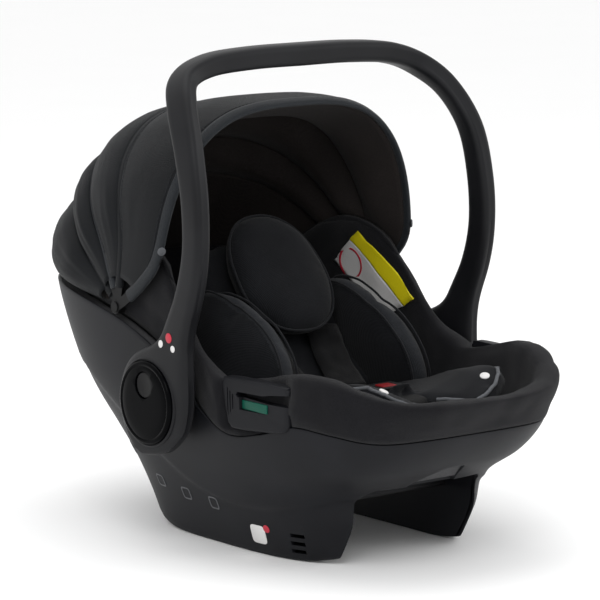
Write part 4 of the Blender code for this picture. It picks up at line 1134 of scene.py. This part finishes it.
def panel_rows(k, spans, steps, lift_at):
    rows = []
    for j in range(spans + 1):
        f = j / spans
        angle = blend(BOW_ANGLES[k], BOW_ANGLES[k + 1], f)
        rows.append([canopy_point(k + f, angle, t, lift_at(f, t)) for t in steps])
    return rows


def panel_size(rows):
    """Width over the arch, length from bow to bow and flat area of a panel."""
    middle = rows[len(rows) // 2]
    width = sum((b - a).length for a, b in zip(middle, middle[1:]))
    crown = [row[len(row) // 2] for row in rows]
    length = sum((b - a).length for a, b in zip(crown, crown[1:]))
    area = 0.0
    for one, two in zip(rows, rows[1:]):
        for a, b, c, d in zip(one, one[1:], two[1:], two):
            area += (c - a).cross(d - b).length / 2
    return width, length, area


def make_panel(k):
    """Outer cloth and lining from one bow to the next."""
    name = PANEL_NAMES[k]
    steps = arch_steps(PANEL_START, 97)
    ends = (steps[0], math.pi - steps[0])

    def fade(t):
        return smooth_step(0.0, 0.30, min(t - ends[0], ends[1] - t))

    def puff(f, t):
        side = abs(math.cos(t))
        full = PANEL_PUFF[k] * max(0.0, math.sin(math.pi * f)) ** 0.62
        gather = 0.0009 * noise.noise(Vector((f * 2.2 + k * 9, t * 5.5, 0.3)))
        pulled = ((0.0010 + 0.0005 * k) * math.sin(math.pi * f)
                  * noise.noise(Vector((f * 7.0 + 3 * k, t * 1.6, 4.0))))
        loose = (gather + pulled * (0.3 + 0.5 * side)) * fade(t)
        return full * (0.35 + 0.65 * fade(t)) + loose + 0.0022

    def sag(f, t):
        return -0.0030 - LINING_SAG[k] * math.sin(math.pi * f) * fade(t)

    start = canopy_point(k, BOW_ANGLES[k], math.pi / 2)
    end = canopy_point(min(k + 1, 4), BOW_ANGLES[k + 1], math.pi / 2)
    for kind, lift_at, finish, thick in (("cloth", puff, CANOPY, 0.0012),
                                         ("lining", sag, LINING, 0.0008)):
        rows = panel_rows(k, 18, steps, lift_at)
        width, length, area = panel_size(rows)
        panel = from_rows(f"canopy_{kind}_{name}", rows, finish, wrap=False, sharp=180)
        outward(panel, Vector((0, 0.3, 0.9)))
        modify(panel, "SOLIDIFY", thickness=thick, offset=-1.0)
        settle(panel)
        if kind == "cloth":
            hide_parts(f"canopy_gore_{name}")
        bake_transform(panel)


def make_bow_casings():
    steps = arch_steps(0.10, 121)
    for k in range(4):
        angle = BOW_ANGLES[k]
        turn = math.radians(angle)
        fore = Vector((0.0, -math.cos(turn), math.sin(turn)))
        wide = 0.0076 if k == 0 else 0.0062
        rows = []
        path = [canopy_point(k, angle, t, 0.0002) for t in steps]
        for point, run in zip(path, tangents(path)):
            across = (fore - run * fore.dot(run)).normalized()
            out = across.cross(run).normalized()
            rows.append([point + across * (wide * signed_power(math.cos(a), 0.8))
                         + out * (0.0036 * signed_power(math.sin(a), 0.8)) for a in full_turns(14)])
        # bows 0 and 2 take the satin band, whose lighter colour is partly painted highlight on their
        # ridges
        finish = SATIN_AND_HIGHLIGHT if k in (0, 2) else CANOPY
        casing = from_rows(f"canopy_casing_{PANEL_NAMES[k]}", rows, finish, ends=("low", "high"),
                           sharp=60)
        put(casing, f"canopy_{PANEL_NAMES[k]}", "canopy_fabric")
        shift, panel = (-1.9, k - 1) if k else (2.6, 0)     # degrees from the bow, and whose cloth
        cloth = surface_tree(bpy.data.objects[f"canopy_cloth_{PANEL_NAMES[panel]}"])
        at = k + shift / (BOW_ANGLES[panel + 1] - BOW_ANGLES[panel])
        above = [canopy_point(at, angle + shift, t, 0.010) for t in steps[8:-8]]
        line = laid_on(above, cloth, 0.0003)
        seam = sewn(f"canopy_seam_{PANEL_NAMES[k]}", [line], 0.0052, 0.0036, 0.00045)
        put(seam, f"canopy_{PANEL_NAMES[k]}", "canopy_fabric")


# ---------------------------------------------------------------- insert pads


def pillow(name, half, place, squareness, finish, rows=22, columns=44, taper=None):
    """Closed rounded pad in its own frame; taper(u, v) scales it across."""
    power = 2.0 / squareness
    rings = []
    for r in range(1, rows):
        tilt = math.pi * r / rows
        ring = []
        for turn in full_turns(columns):
            u = signed_power(math.cos(turn), power) * math.sin(tilt) ** 0.55
            v = signed_power(math.sin(turn), power) * math.sin(tilt) ** 0.55
            w = signed_power(math.cos(tilt), 0.9)
            scale = taper(u, v) if taper else 1.0
            ring.append(Vector((half[0] * u * scale, half[1] * v, half[2] * w)))
        rings.append(ring)
    obj = from_rows(name, rings, finish, sharp=180,
                    poles=(("low", Vector((0, 0, half[2]))), ("high", Vector((0, 0, -half[2])))))
    obj.data.transform(place)
    return obj


def plump(obj, voxel=0.005, pressure=4.0, cap=0.008, frames=20):
    """Swell a closed form as stuffed cloth, no point moving further than cap."""
    modify(obj, "REMESH", mode="VOXEL", voxel_size=voxel)
    settle(obj)
    scene = bpy.context.scene
    start = np.array([v.co for v in obj.data.vertices])
    cloth = obj.modifiers.new("cloth", "CLOTH")
    cloth.settings.use_pressure = True
    cloth.settings.uniform_pressure_force = pressure
    cloth.settings.effector_weights.gravity = 0.0
    cloth.point_cache.frame_start = 1
    cloth.point_cache.frame_end = frames
    for step in range(1, frames + 1):
        scene.frame_set(step)
    settle(obj)
    moved = np.array([v.co for v in obj.data.vertices]) - start
    length = np.linalg.norm(moved, axis=1, keepdims=True)
    moved *= np.minimum(1.0, cap / np.maximum(length, 1e-9))
    obj.data.vertices.foreach_set("co", (start + moved).ravel())
    obj.data.update()
    scene.frame_set(1)
    modify(obj, "SMOOTH", factor=0.5, iterations=3)
    settle(obj)
    subdivide(obj)
    return obj


def edge_ring(obj, place, level, count=96, lift=0.0006):
    """Loop round a pad where it is widest at a level of its own thickness."""
    back = place.inverted()
    local = np.array([back @ v.co for v in obj.data.vertices])
    near = local[np.abs(local[:, 2] - level) < 0.006]
    angles = np.arctan2(near[:, 1], near[:, 0])
    reach = np.hypot(near[:, 0], near[:, 1])
    ring = []
    for k in range(count):
        a = -math.pi + 2 * math.pi * (k + 0.5) / count
        gap = np.abs((angles - a + math.pi) % (2 * math.pi) - math.pi)
        close = gap < 2.2 * math.pi / count
        r = reach[close].max() if close.any() else reach[np.argmin(gap)]
        ring.append(r)
    ring = np.array(ring)
    for _ in range(3):
        ring = (np.roll(ring, 1) + ring * 2 + np.roll(ring, -1)) / 4
    out = []
    for k, r in enumerate(ring):
        a = -math.pi + 2 * math.pi * (k + 0.5) / count
        out.append(place @ Vector(((r + lift) * math.cos(a), (r + lift) * math.sin(a), level)))
    return out


BACK_SURFACE = ((-0.040, 0.150), (0.0, 0.190), (0.080, 0.295), (0.112, 0.326))
BACK_TILT = math.atan2(0.295 - 0.190, 0.080)


def back_y(z):
    return float(np.interp(z, [p[1] for p in BACK_SURFACE], [p[0] for p in BACK_SURFACE]))


def seat_top(y):
    return float(np.interp(y, (-0.235, -0.200, -0.120, -0.040), (0.176, 0.178, 0.158, 0.150)))


def make_headrest():
    normal = Vector((0.0, -math.sin(BACK_TILT), math.cos(BACK_TILT)))
    base = Vector((0.0, 0.066, 0.190 + 0.066 * math.tan(BACK_TILT)))
    down = Vector((0.0, math.cos(BACK_TILT), math.sin(BACK_TILT))) * -0.006
    centre = base + normal * 0.0268 + down + Vector((0, HUB_Y, 0))
    place = Matrix.Translation(centre) @ Matrix.Rotation(BACK_TILT, 4, "X")
    head = pillow("head_pad", HEADREST_HALF, place, 2.25, JERSEY,
                  taper=lambda u, v: 1.0 - 0.05 * v)
    plump(head, 0.0045, 4.0, 0.007)
    ruffle(head, 0.0012, 30.0, 5)
    put(head, "seat", "insert_fabric", "headrest")
    ring = edge_ring(head, place, 0.006)
    put(tube("head_pad_piping", ring, 0.0016, DARK_PIPING, loop=True), "seat", "insert_fabric")


def make_bolsters():
    for side, sign in SIDES:
        centre = Vector((sign * 0.1020, 0.002 + HUB_Y, 0.196))
        tilt = Matrix.Rotation(math.radians(22), 4, "X")
        upright = Matrix.Rotation(math.radians(90 * sign), 4, "Y")
        splay = Matrix.Rotation(math.radians(-12 * sign), 4, "Y")
        place = Matrix.Translation(centre) @ tilt @ splay @ upright
        pad = pillow(f"side_bolster_{side}", BOLSTER_HALF, place, 2.2, JERSEY)
        plump(pad, 0.0045, 4.0, 0.007)
        ruffle(pad, 0.0012, 26.0, 7)
        back = place.inverted()
        # the edge band takes the lighter gusset knit, partly painted highlight along the bolster's edge
        pad.data.materials.append(GUSSET_AND_HIGHLIGHT)
        for face in pad.data.polygons:
            local = back @ face.center
            reach = math.hypot(local.x / BOLSTER_HALF[0], local.y / BOLSTER_HALF[1])
            if abs(local.z) < 0.0105 and reach > 0.82:
                face.material_index = 1
        put(pad, "seat", "insert_fabric", f"bolster_{side}")
        strands = [tube("strand", edge_ring(pad, place, level, 112), 0.0014, DARK_PIPING, loop=True)
                   for level in (-0.0120, 0.0120)]
        put(join(f"bolster_piping_{side}", strands), "seat", "insert_fabric")


def slab(name, outline_rows, thickness, finish):
    """Closed pad from a grid of surface points and a thickness below it."""
    rows = len(outline_rows)
    top = [Vector(p) for row in outline_rows for p in row]
    columns = len(outline_rows[0])
    mesh = bpy.data.meshes.new(name)
    mesh.from_pydata([tuple(p) for p in top], [], grid_faces(rows, columns, False))
    obj = dress(name, mesh, finish, 180)
    outward(obj, Vector((0, -0.1, 1.0)))
    modify(obj, "SOLIDIFY", thickness=thickness, offset=-1.0)
    return settle(obj)


def make_seat_insert():
    half, back_edge, front_edge = SEAT_PAD_HALF, SEAT_PAD_BACK, SEAT_PAD_FRONT
    rows = []
    for j in range(27):
        f = j / 26
        y = blend(back_edge, front_edge, f)
        row = []
        for i in range(33):
            u = -1 + 2 * i / 32
            corner = LOBE_CORNER * smooth_step(0.72, 1.0, f) * abs(u) ** 5
            notch = LOBE_NOTCH * smooth_step(0.62, 1.0, f) * math.exp(-(abs(u) / NOTCH_SHARE) ** 3)
            x = half * u
            z = seat_top(y) - 0.004 + 0.007 * f + (0.016 + 0.026 * f) * abs(u) ** 2.0
            z -= 0.003 * math.exp(-(u / 0.14) ** 2)
            row.append((x, y + corner + notch + HUB_Y, z - 0.007 * smooth_step(0.86, 1.0, f)))
        rows.append(row)
    pad = slab("seat_insert", rows, 0.020, JERSEY)
    plump(pad, 0.0048, 3.5, 0.005)
    ruffle(pad, 0.0012, 28.0, 9)
    put(pad, "seat", "insert_fabric", "seat_pad")
    tree = surface_tree(pad)
    edges = []
    for sign in (-1, 1):
        trace = []
        for i in range(40):
            u = blend(0.16, 1.0, i / 39)
            corner = LOBE_CORNER * abs(u) ** 5
            notch = LOBE_NOTCH * math.exp(-(abs(u) / NOTCH_SHARE) ** 3)
            x = sign * half * u
            z = seat_top(front_edge) + 0.001 + 0.042 * abs(u) ** 2.0
            trace.append((x, front_edge + corner + notch + HUB_Y - 0.006, z + 0.004))
        trace += [(sign * (half + 0.002), blend(front_edge + 0.035, -0.06, k / 12) + HUB_Y,
                   blend(0.205, 0.172, k / 12)) for k in range(1, 13)]
        edges.append(tube("edge", smooth_path(laid_on(trace, tree, 0.0010), 2), 0.0021, PIPING))
    put(join("seat_insert_piping", edges), "seat", "insert_fabric")


def make_back_insert():
    rows = []
    for j in range(29):
        f = j / 28
        z = blend(0.158, 0.322, f)
        row = []
        for i in range(33):
            u = -1 + 2 * i / 32
            narrow = 1 - 0.10 * smooth_step(0.7, 1.0, f)
            x = 0.0955 * u * narrow
            y = back_y(z) + 0.004 - 0.010 * abs(u) ** 3 + 0.004 * math.exp(-(u / 0.12) ** 2)
            row.append((x, y + HUB_Y, z - 0.006 * abs(u) ** 2))
        rows.append(row)
    pad = slab("back_insert", rows, 0.022, JERSEY)
    plump(pad, 0.0050, 3.5, 0.005)
    ruffle(pad, 0.0010, 28.0, 11)
    put(pad, "seat", "insert_fabric", "back_pad")


# ---------------------------------------------------------------- harness


def flat_strap(name, centres, width, thickness, finish, crown=False, per_side=9):
    """Strap along centre points, its width across the seat; a crown thins both of its ends."""
    rows = []
    path = [Vector(p) for p in centres]
    for i, (point, run) in enumerate(zip(path, tangents(path))):
        up = Vector((1, 0, 0)).cross(run).normalized()
        if up.z < 0:
            up = -up
        across = run.cross(up).normalized()
        share = i / (len(path) - 1)
        pinch = 1.0
        if crown:
            pinch = 0.30 + 0.70 * min(1.0, math.sin(math.pi * blend(0.02, 0.98, share)) * 2.2)
        row = []
        for half, sign in ((range(per_side), 1), (range(per_side - 1, -1, -1), -1)):
            for k in half:
                u = -1 + 2 * k / (per_side - 1)
                dome = (1 - abs(u) ** 4) ** 0.5 if abs(u) < 1 else 0.0
                lift = sign * (thickness / 2) * (0.25 + 0.75 * dome) * pinch
                narrow = 1.0 - (0.10 * (1 - pinch))
                row.append(point + across * (width / 2 * u * narrow) + up * lift)
        rows.append(row)
    return from_rows(name, rows, finish, ends=("low", "high"), sharp=50)


def strap_route(sign, lift):
    route = [(0.045, back_y(0.222), 0.222), (0.043, back_y(0.208), 0.208),
             (0.041, back_y(0.194), 0.194)]
    for x, y in ((0.037, -0.022), (0.030, -0.052), (0.022, -0.088), (0.0215, -0.118)):
        z = 0.172 if y > -0.04 else max(0.160, seat_top(y) + 0.004)
        route.append((x, y, z))
    offset = Vector((0.0, -0.6, 0.8)) * lift
    return smooth_path([Vector((sign * x, y + HUB_Y, z)) + offset for x, y, z in route], 7)


def make_harness():
    for side, sign in SIDES:
        path = strap_route(sign, 0.0036)
        strap = flat_strap(f"shoulder_webbing_{side}", path, 0.036, 0.0020, WEBBING)
        put(strap, "seat", "webbing", f"shoulder_strap_{side}")
        path = strap_route(sign, 0.0100)[:28]
        pad = flat_strap(f"shoulder_cushion_{side}", path, 0.048, 0.0095, HARNESS_CLOTH, crown=True,
                         per_side=13)
        subdivide(pad)
        ruffle(pad, 0.0010, 60.0, 13)
        put(pad, "seat", "insert_fabric", f"shoulder_pad_{side}")
    low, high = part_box("buckle_housing")
    middle = Vector([(a + b) / 2 for a, b in zip(low, high)])
    body = block("harness_buckle", low, high, TRIM)
    body.data.transform(Matrix.Translation(middle) @ Matrix.Diagonal((0.995, 0.995, 0.995, 1))
                        @ Matrix.Translation(-middle))
    well = block("well", (-0.0108, low[1] + 0.0066, high[2] - 0.0052),
                 (0.0108, low[1] + 0.0236, high[2] + 0.01), TRIM)
    slots = [block("slot", (sign * 0.0175 - 0.0011, high[1] - 0.004, low[2] + 0.004),
                   (sign * 0.0175 + 0.0011, high[1] + 0.01, high[2] - 0.004), TRIM)
             for sign in (-1, 1)]
    cut(body, well, *slots)
    round_edges(body, 0.0030, 4, 60)
    put(body, "seat", "dark_plastic", "buckle_housing")
    low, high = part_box("buckle_button")
    press = block("buckle_press", low, high, BUTTON_RED, 0.0014, 3)
    put(press, "buckle_button", "dark_plastic", "buckle_button")
    low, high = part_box("adjuster_button")
    press = block("adjuster_press", low, high, GRIP, 0.0012, 3)
    put(press, "adjuster_button", "dark_plastic", "adjuster_button")
    tail_low, tail_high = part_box("crotch_strap")
    top = tail_high[2] - 0.0008
    route = [(0, tail_high[1] + 0.0005, top - 0.0028), (0, tail_high[1] - 0.010, top - 0.0008),
             (0, blend(tail_low[1], tail_high[1], 0.35), top), (0, tail_low[1] + 0.005, top - 0.004),
             (0, tail_low[1] + 0.0012, top - 0.020), (0, tail_low[1] + 0.0012, tail_low[2] + 0.001)]
    strap = flat_strap("crotch_webbing", smooth_path(route, 6), 0.036, 0.0022, WEBBING)
    put(strap, "seat", "webbing", "crotch_strap")


# ---------------------------------------------------------------- belt guides, labels and trim


def guide_face(y, z, inset=0.0):
    """How far out the belt guide's face stands: it follows the shell's side."""
    half, front, _ = shell_size(max(z, 0.17))
    share = (1 - (abs(y) / front) ** SHELL_SQUARENESS) ** (1 / SHELL_SQUARENESS)
    return half * share + 0.0032 - inset


def make_belt_guides():
    for side, sign in SIDES:
        outline = [(-0.1000, 0.2040), (-0.1020, 0.2095), (-0.1065, 0.2125), (-0.1500, 0.2130),
                   (-0.1960, 0.2120), (-0.2010, 0.2090), (-0.2025, 0.2030), (-0.1990, 0.1740),
                   (-0.1955, 0.1640), (-0.1880, 0.1600), (-0.1500, 0.1570), (-0.1190, 0.1560),
                   (-0.1110, 0.1590), (-0.1065, 0.1670)]
        rim = smooth_path([(0, y, z) for y, z in outline], 5, loop=True)
        centre = Vector((0, -0.150, 0.185))
        rows = []
        for inset, shrink in ((0.0150, 0.0), (0.0080, 0.0), (0.0028, 0.0), (0.0012, 0.0010),
                              (0.0003, 0.0024), (0.0, 0.0045), (0.0, 0.0120), (-0.0004, 0.0250)):
            row = []
            for p in rim:
                way = centre - p
                spot = p + way.normalized() * min(shrink, way.length * 0.8)
                row.append((sign * guide_face(spot.y, spot.z, inset), spot.y + HUB_Y, spot.z))
            rows.append(row)
        pole = (sign * guide_face(centre.y, centre.z, -0.0004), centre.y + HUB_Y, centre.z)
        guide = from_rows(f"belt_hook_{side}", rows, SHELL, ends=("low",), poles=(("high", pole),))
        gap = sorted((sign * 0.12, sign * 0.25))
        slot = [(-0.1270, 0.1925), (-0.1245, 0.1950), (-0.1270, 0.1985), (-0.1650, 0.1985),
                (-0.1800, 0.2010), (-0.2200, 0.2050), (-0.2200, 0.1895), (-0.1780, 0.1905)]
        tools = [prism("slot", [(y + HUB_Y, z) for y, z in slot], 0, *gap, SHELL)]
        low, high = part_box(f"belt_guide_insert_{side}")
        deep = sorted((sign * 0.1830, sign * 0.25))
        tools.append(block("recess", (deep[0], low[1] - 0.0006, low[2] - 0.0006),
                           (deep[1], high[1] + 0.0006, high[2] + 0.0040), SHELL))
        deep = sorted((sign * 0.1878, sign * 0.25))
        for k in range(3):
            y = -0.1095 + HUB_Y - 0.0042 * k
            tools.append(block("grip", (deep[0], y - 0.0016, 0.1700 + 0.004 * k),
                               (deep[1], y, 0.2010 - 0.003 * k), SHELL))
        cut(guide, *tools)
        round_edges(guide, 0.0008, 2, 50)
        put(guide, "seat", "shell_plastic", f"belt_guide_{side}")
        mark = block(f"belt_mark_{side}", low, high, GREEN, 0.0008, 3)
        put(mark, "seat", "belt_green", f"belt_guide_insert_{side}")


def disc_on(name, centre, normal, radius, thick, finish, sides=36, inner=0.0):
    """Small domed disc or ring facing along a normal."""
    normal = Vector(normal).normalized()
    side = normal.orthogonal().normalized()
    up = normal.cross(side)
    profile = [(radius, 0.0), (radius, thick * 0.6), (radius - thick * 0.5, thick)]
    if inner:
        profile += [(inner + thick * 0.5, thick), (inner, thick * 0.6), (inner, 0.0)]
    rows = []
    for r, lift in profile:
        rows.append([Vector(centre) + side * (r * math.cos(a)) + up * (r * math.sin(a))
                     + normal * lift for a in full_turns(sides)])
    if inner:
        return from_rows(name, rows, finish, wrap_rows=True)
    return from_rows(name, rows, finish, ends=("low",),
                     poles=(("high", Vector(centre) + normal * thick * 1.15),))


def plate_on(name, centre, normal, half, thick, finish, inner=0.0):
    """Thin rounded square facing along a normal, or a frame of one."""
    normal = Vector(normal).normalized()
    side = Vector((0, 0, 1)).cross(normal).normalized()
    up = normal.cross(side)

    def ring(size, lift):
        row = []
        for k in range(32):
            turn = 2 * math.pi * (k + 0.5) / 32
            across = signed_power(math.cos(turn), 0.4) * size
            rise = signed_power(math.sin(turn), 0.4) * size
            row.append(Vector(centre) + side * across + up * rise + normal * lift)
        return row

    rows = [ring(half, -0.0012), ring(half, thick * 0.7), ring(half - thick * 0.5, thick)]
    if inner:
        rows += [ring(inner + thick * 0.5, thick), ring(inner, thick * 0.7), ring(inner, -0.0012)]
        return from_rows(name, rows, finish, wrap_rows=True)
    return from_rows(name, rows, finish, ends=("low", "high"))


def label(name, corners, tree, finish, lift, thick=0.0006, steps=12):
    """Thin flexible label laid on a surface between four corners."""
    rows = []
    for j in range(steps + 1):
        left = Vector(corners[0]).lerp(Vector(corners[3]), j / steps)
        right = Vector(corners[1]).lerp(Vector(corners[2]), j / steps)
        row = [left.lerp(right, i / steps) for i in range(steps + 1)]
        rows.append(laid_on(row, tree, lift))
    obj = from_rows(name, rows, finish, wrap=False, sharp=180)
    modify(obj, "SOLIDIFY", thickness=thick, offset=0.0)
    return settle(obj)


def make_labels(cover):
    tree = surface_tree(cover)

    def flat(*corners):
        return [Vector((0.147, y + HUB_Y, z)) for y, z in corners]

    yellow = label("side_tag_yellow", flat((0.0802, 0.3223), (-0.0149, 0.2549), (0.0066, 0.2387),
                                           (0.0956, 0.3087)), tree, YELLOW, 0.0016)
    white = label("side_tag_white", flat((0.0952, 0.3084), (0.0070, 0.2390), (0.0500, 0.2230),
                                         (0.1300, 0.2800)), tree, WHITE, 0.0013)
    for piece in (yellow, white):
        put(piece, "seat", "cover_fabric")
    centre, normal, _, _ = tree.find_nearest(flat((0.1000, 0.2790))[0])
    ring = disc_on("side_tag_ring", centre + normal * 0.0019, normal, 0.0200, 0.0006, RED, 40, 0.0170)
    put(ring, "seat", "cover_fabric")


def make_trim():
    shell = surface_tree(bpy.data.objects["carrier_shell"])
    for name, place, half, finish, inner in (
            ("shell_plate_pale", (-0.133, -0.090, 0.0230), 0.0115, WHITE, 0.0),
            ("shell_plate_front", (-0.145, -0.022, 0.0480), 0.0080, PLATE_GREY, 0.0062),
            ("shell_plate_middle", (-0.148, 0.028, 0.0500), 0.0080, PLATE_GREY, 0.0062),
            ("shell_plate_rear", (-0.150, 0.078, 0.0560), 0.0080, PLATE_GREY, 0.0062),
            ("shell_plate_last", (-0.150, 0.140, 0.0820), 0.0080, PLATE_GREY, 0.0062)):
        for side, sign in SIDES:
            centre, normal, _, _ = shell.find_nearest(Vector((-sign * place[0], place[1], place[2])))
            plate = plate_on(f"{name}_{side}", centre, normal, half, 0.0005, finish, inner)
            put(plate, "seat", "shell_plastic")
    for side, sign in SIDES:
        centre, normal, _, _ = shell.find_nearest(Vector((sign * 0.133, -0.105, 0.0320)))
        put(disc_on(f"shell_dot_{side}", centre, normal, 0.0048, 0.0007, RED), "seat", "shell_plastic")
    handle = surface_tree(bpy.data.objects["carry_handle"])
    for side, sign in SIDES:
        for k, (y, z, radius, finish) in enumerate((
                (-0.0240, 0.2430, 0.0042, WHITE), (-0.0400, 0.2485, 0.0056, RED),
                (-0.0480, 0.2375, 0.0038, WHITE))):
            point = Vector((sign * 0.25, y + HUB_Y, z))
            centre, normal, _, _ = handle.find_nearest(point)
            dot = disc_on(f"leg_dot_{side}_{k}", centre, normal, radius, 0.0005, finish)
            put(dot, "handle", "handle_plastic")
    lobes = surface_tree(bpy.data.objects["seat_insert"])
    edge = surface_tree(bpy.data.objects["canopy_casing_front"])
    for side, sign in SIDES:
        centre, normal, _, _ = lobes.find_nearest(Vector((sign * 0.062, -0.252, 0.240)))
        put(disc_on(f"lobe_snap_{side}", centre, normal, 0.0055, 0.0018, WHITE), "seat",
            "insert_fabric")
        centre, normal, _, _ = edge.find_nearest(Vector((sign * 0.196, 0.006 + HUB_Y, 0.334)))
        snap = disc_on(f"canopy_snap_{side}", centre, normal, 0.0048, 0.0016, PIPING)
        put(snap, "canopy_front", "canopy_fabric")


def plain_nodes():
    """Better finishes for the CAD nodes that keep their own shape."""
    finishes = {
        "foam_liner": bead_foam("liner_foam", (0.030, 0.030, 0.032)),
        "hub_mount": TRIM, "lock_plunger": TRIM, "canopy_bow": TRIM, "adjuster_housing": TRIM,
        "release_lever": RUBBER, "lever_bracket": TRIM, "lock_ring": STEEL,
        # latch_bar takes steel darkened as painted shade for the dark inside the tunnel
        "button_spring": STEEL, "pivot_bolt": STEEL, "canopy_rivet": TRIM, "latch_bar": SHADE_DARKENED_STEEL,
        "base_screw": STEEL,
    }
    for name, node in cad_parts.items():
        for start, finish in finishes.items():
            if name.startswith(start):
                for spot in node.material_slots:
                    spot.material = finish


# ---------------------------------------------------------------- stage


FLOOR_HALF = 12.0
LIGHT_AIM = Vector((0, 0, 0.25))
LIGHTS = (("key", (-1.6, -1.8, 2.2), 1.4, 21), ("fill", (2.2, -1.4, 1.2), 1.8, 14),
          ("top", (0.0, 0.3, 2.6), 2.0, 18))      # name, place, size, power
CAMERA_TURN = -38.54             # degrees from the foot end towards the sitter's right
CAMERA_RISE = 9.2346
CAMERA_AWAY = 4.0911
CAMERA_LENS = 214
CAMERA_AIM_Z = 0.2645


def make_stage():
    half = FLOOR_HALF
    floor = block("floor", (-half, -half, -0.02), (half, half, -0.0004), WHITE)
    look = Finish("pale_floor", Roughness=0.9, Specular_IOR_Level=0.1)
    cloud = look.cloud(look.place(), 3.0)
    pale = look.tint(cloud, (0.955, 0.955, 0.955), (0.97, 0.97, 0.97))
    floor.data.materials[0] = look.surface(pale)
    world = bpy.data.worlds.new("studio")
    bpy.context.scene.world = world
    world.use_nodes = True
    background = world.node_tree.nodes["Background"]
    background.inputs["Color"].default_value = (1.0, 1.0, 1.0, 1.0)
    background.inputs["Strength"].default_value = 1.0
    for name, spot, size, power in LIGHTS:
        light = bpy.data.lights.new(name, "AREA")
        light.shape = "RECTANGLE"
        light.size = light.size_y = size
        light.energy = power
        obj = linked(name, light)
        obj.location = spot
        obj.rotation_euler = (LIGHT_AIM - Vector(spot)).to_track_quat("-Z", "Y").to_euler()
    bpy.context.scene.view_settings.view_transform = "Standard"


def make_camera():
    turn, rise = math.radians(CAMERA_TURN), math.radians(CAMERA_RISE)
    back = Vector((math.sin(turn) * math.cos(rise), -math.cos(turn) * math.cos(rise),
                   math.sin(rise)))
    right = Vector((math.cos(turn), math.sin(turn), 0))
    axes = Matrix((right, back.cross(right), back)).transposed().to_4x4()
    camera = bpy.data.cameras.new("camera")
    camera.sensor_width = 36
    camera.lens = CAMERA_LENS
    obj = linked("camera", camera)
    aim = Vector((0.0, HUB_Y, CAMERA_AIM_Z))
    obj.matrix_world = Matrix.Translation(aim + back * CAMERA_AWAY) @ axes
    bpy.context.scene.camera = obj


make_camera()
make_stage()
make_shell()
make_under_works()
padded_cover = make_cover()
make_handle()
make_hub_caps()
for number in range(4):
    make_panel(number)
make_bow_casings()
make_headrest()
make_bolsters()
make_seat_insert()
make_back_insert()
make_harness()
make_belt_guides()
make_labels(padded_cover)
make_trim()
plain_nodes()
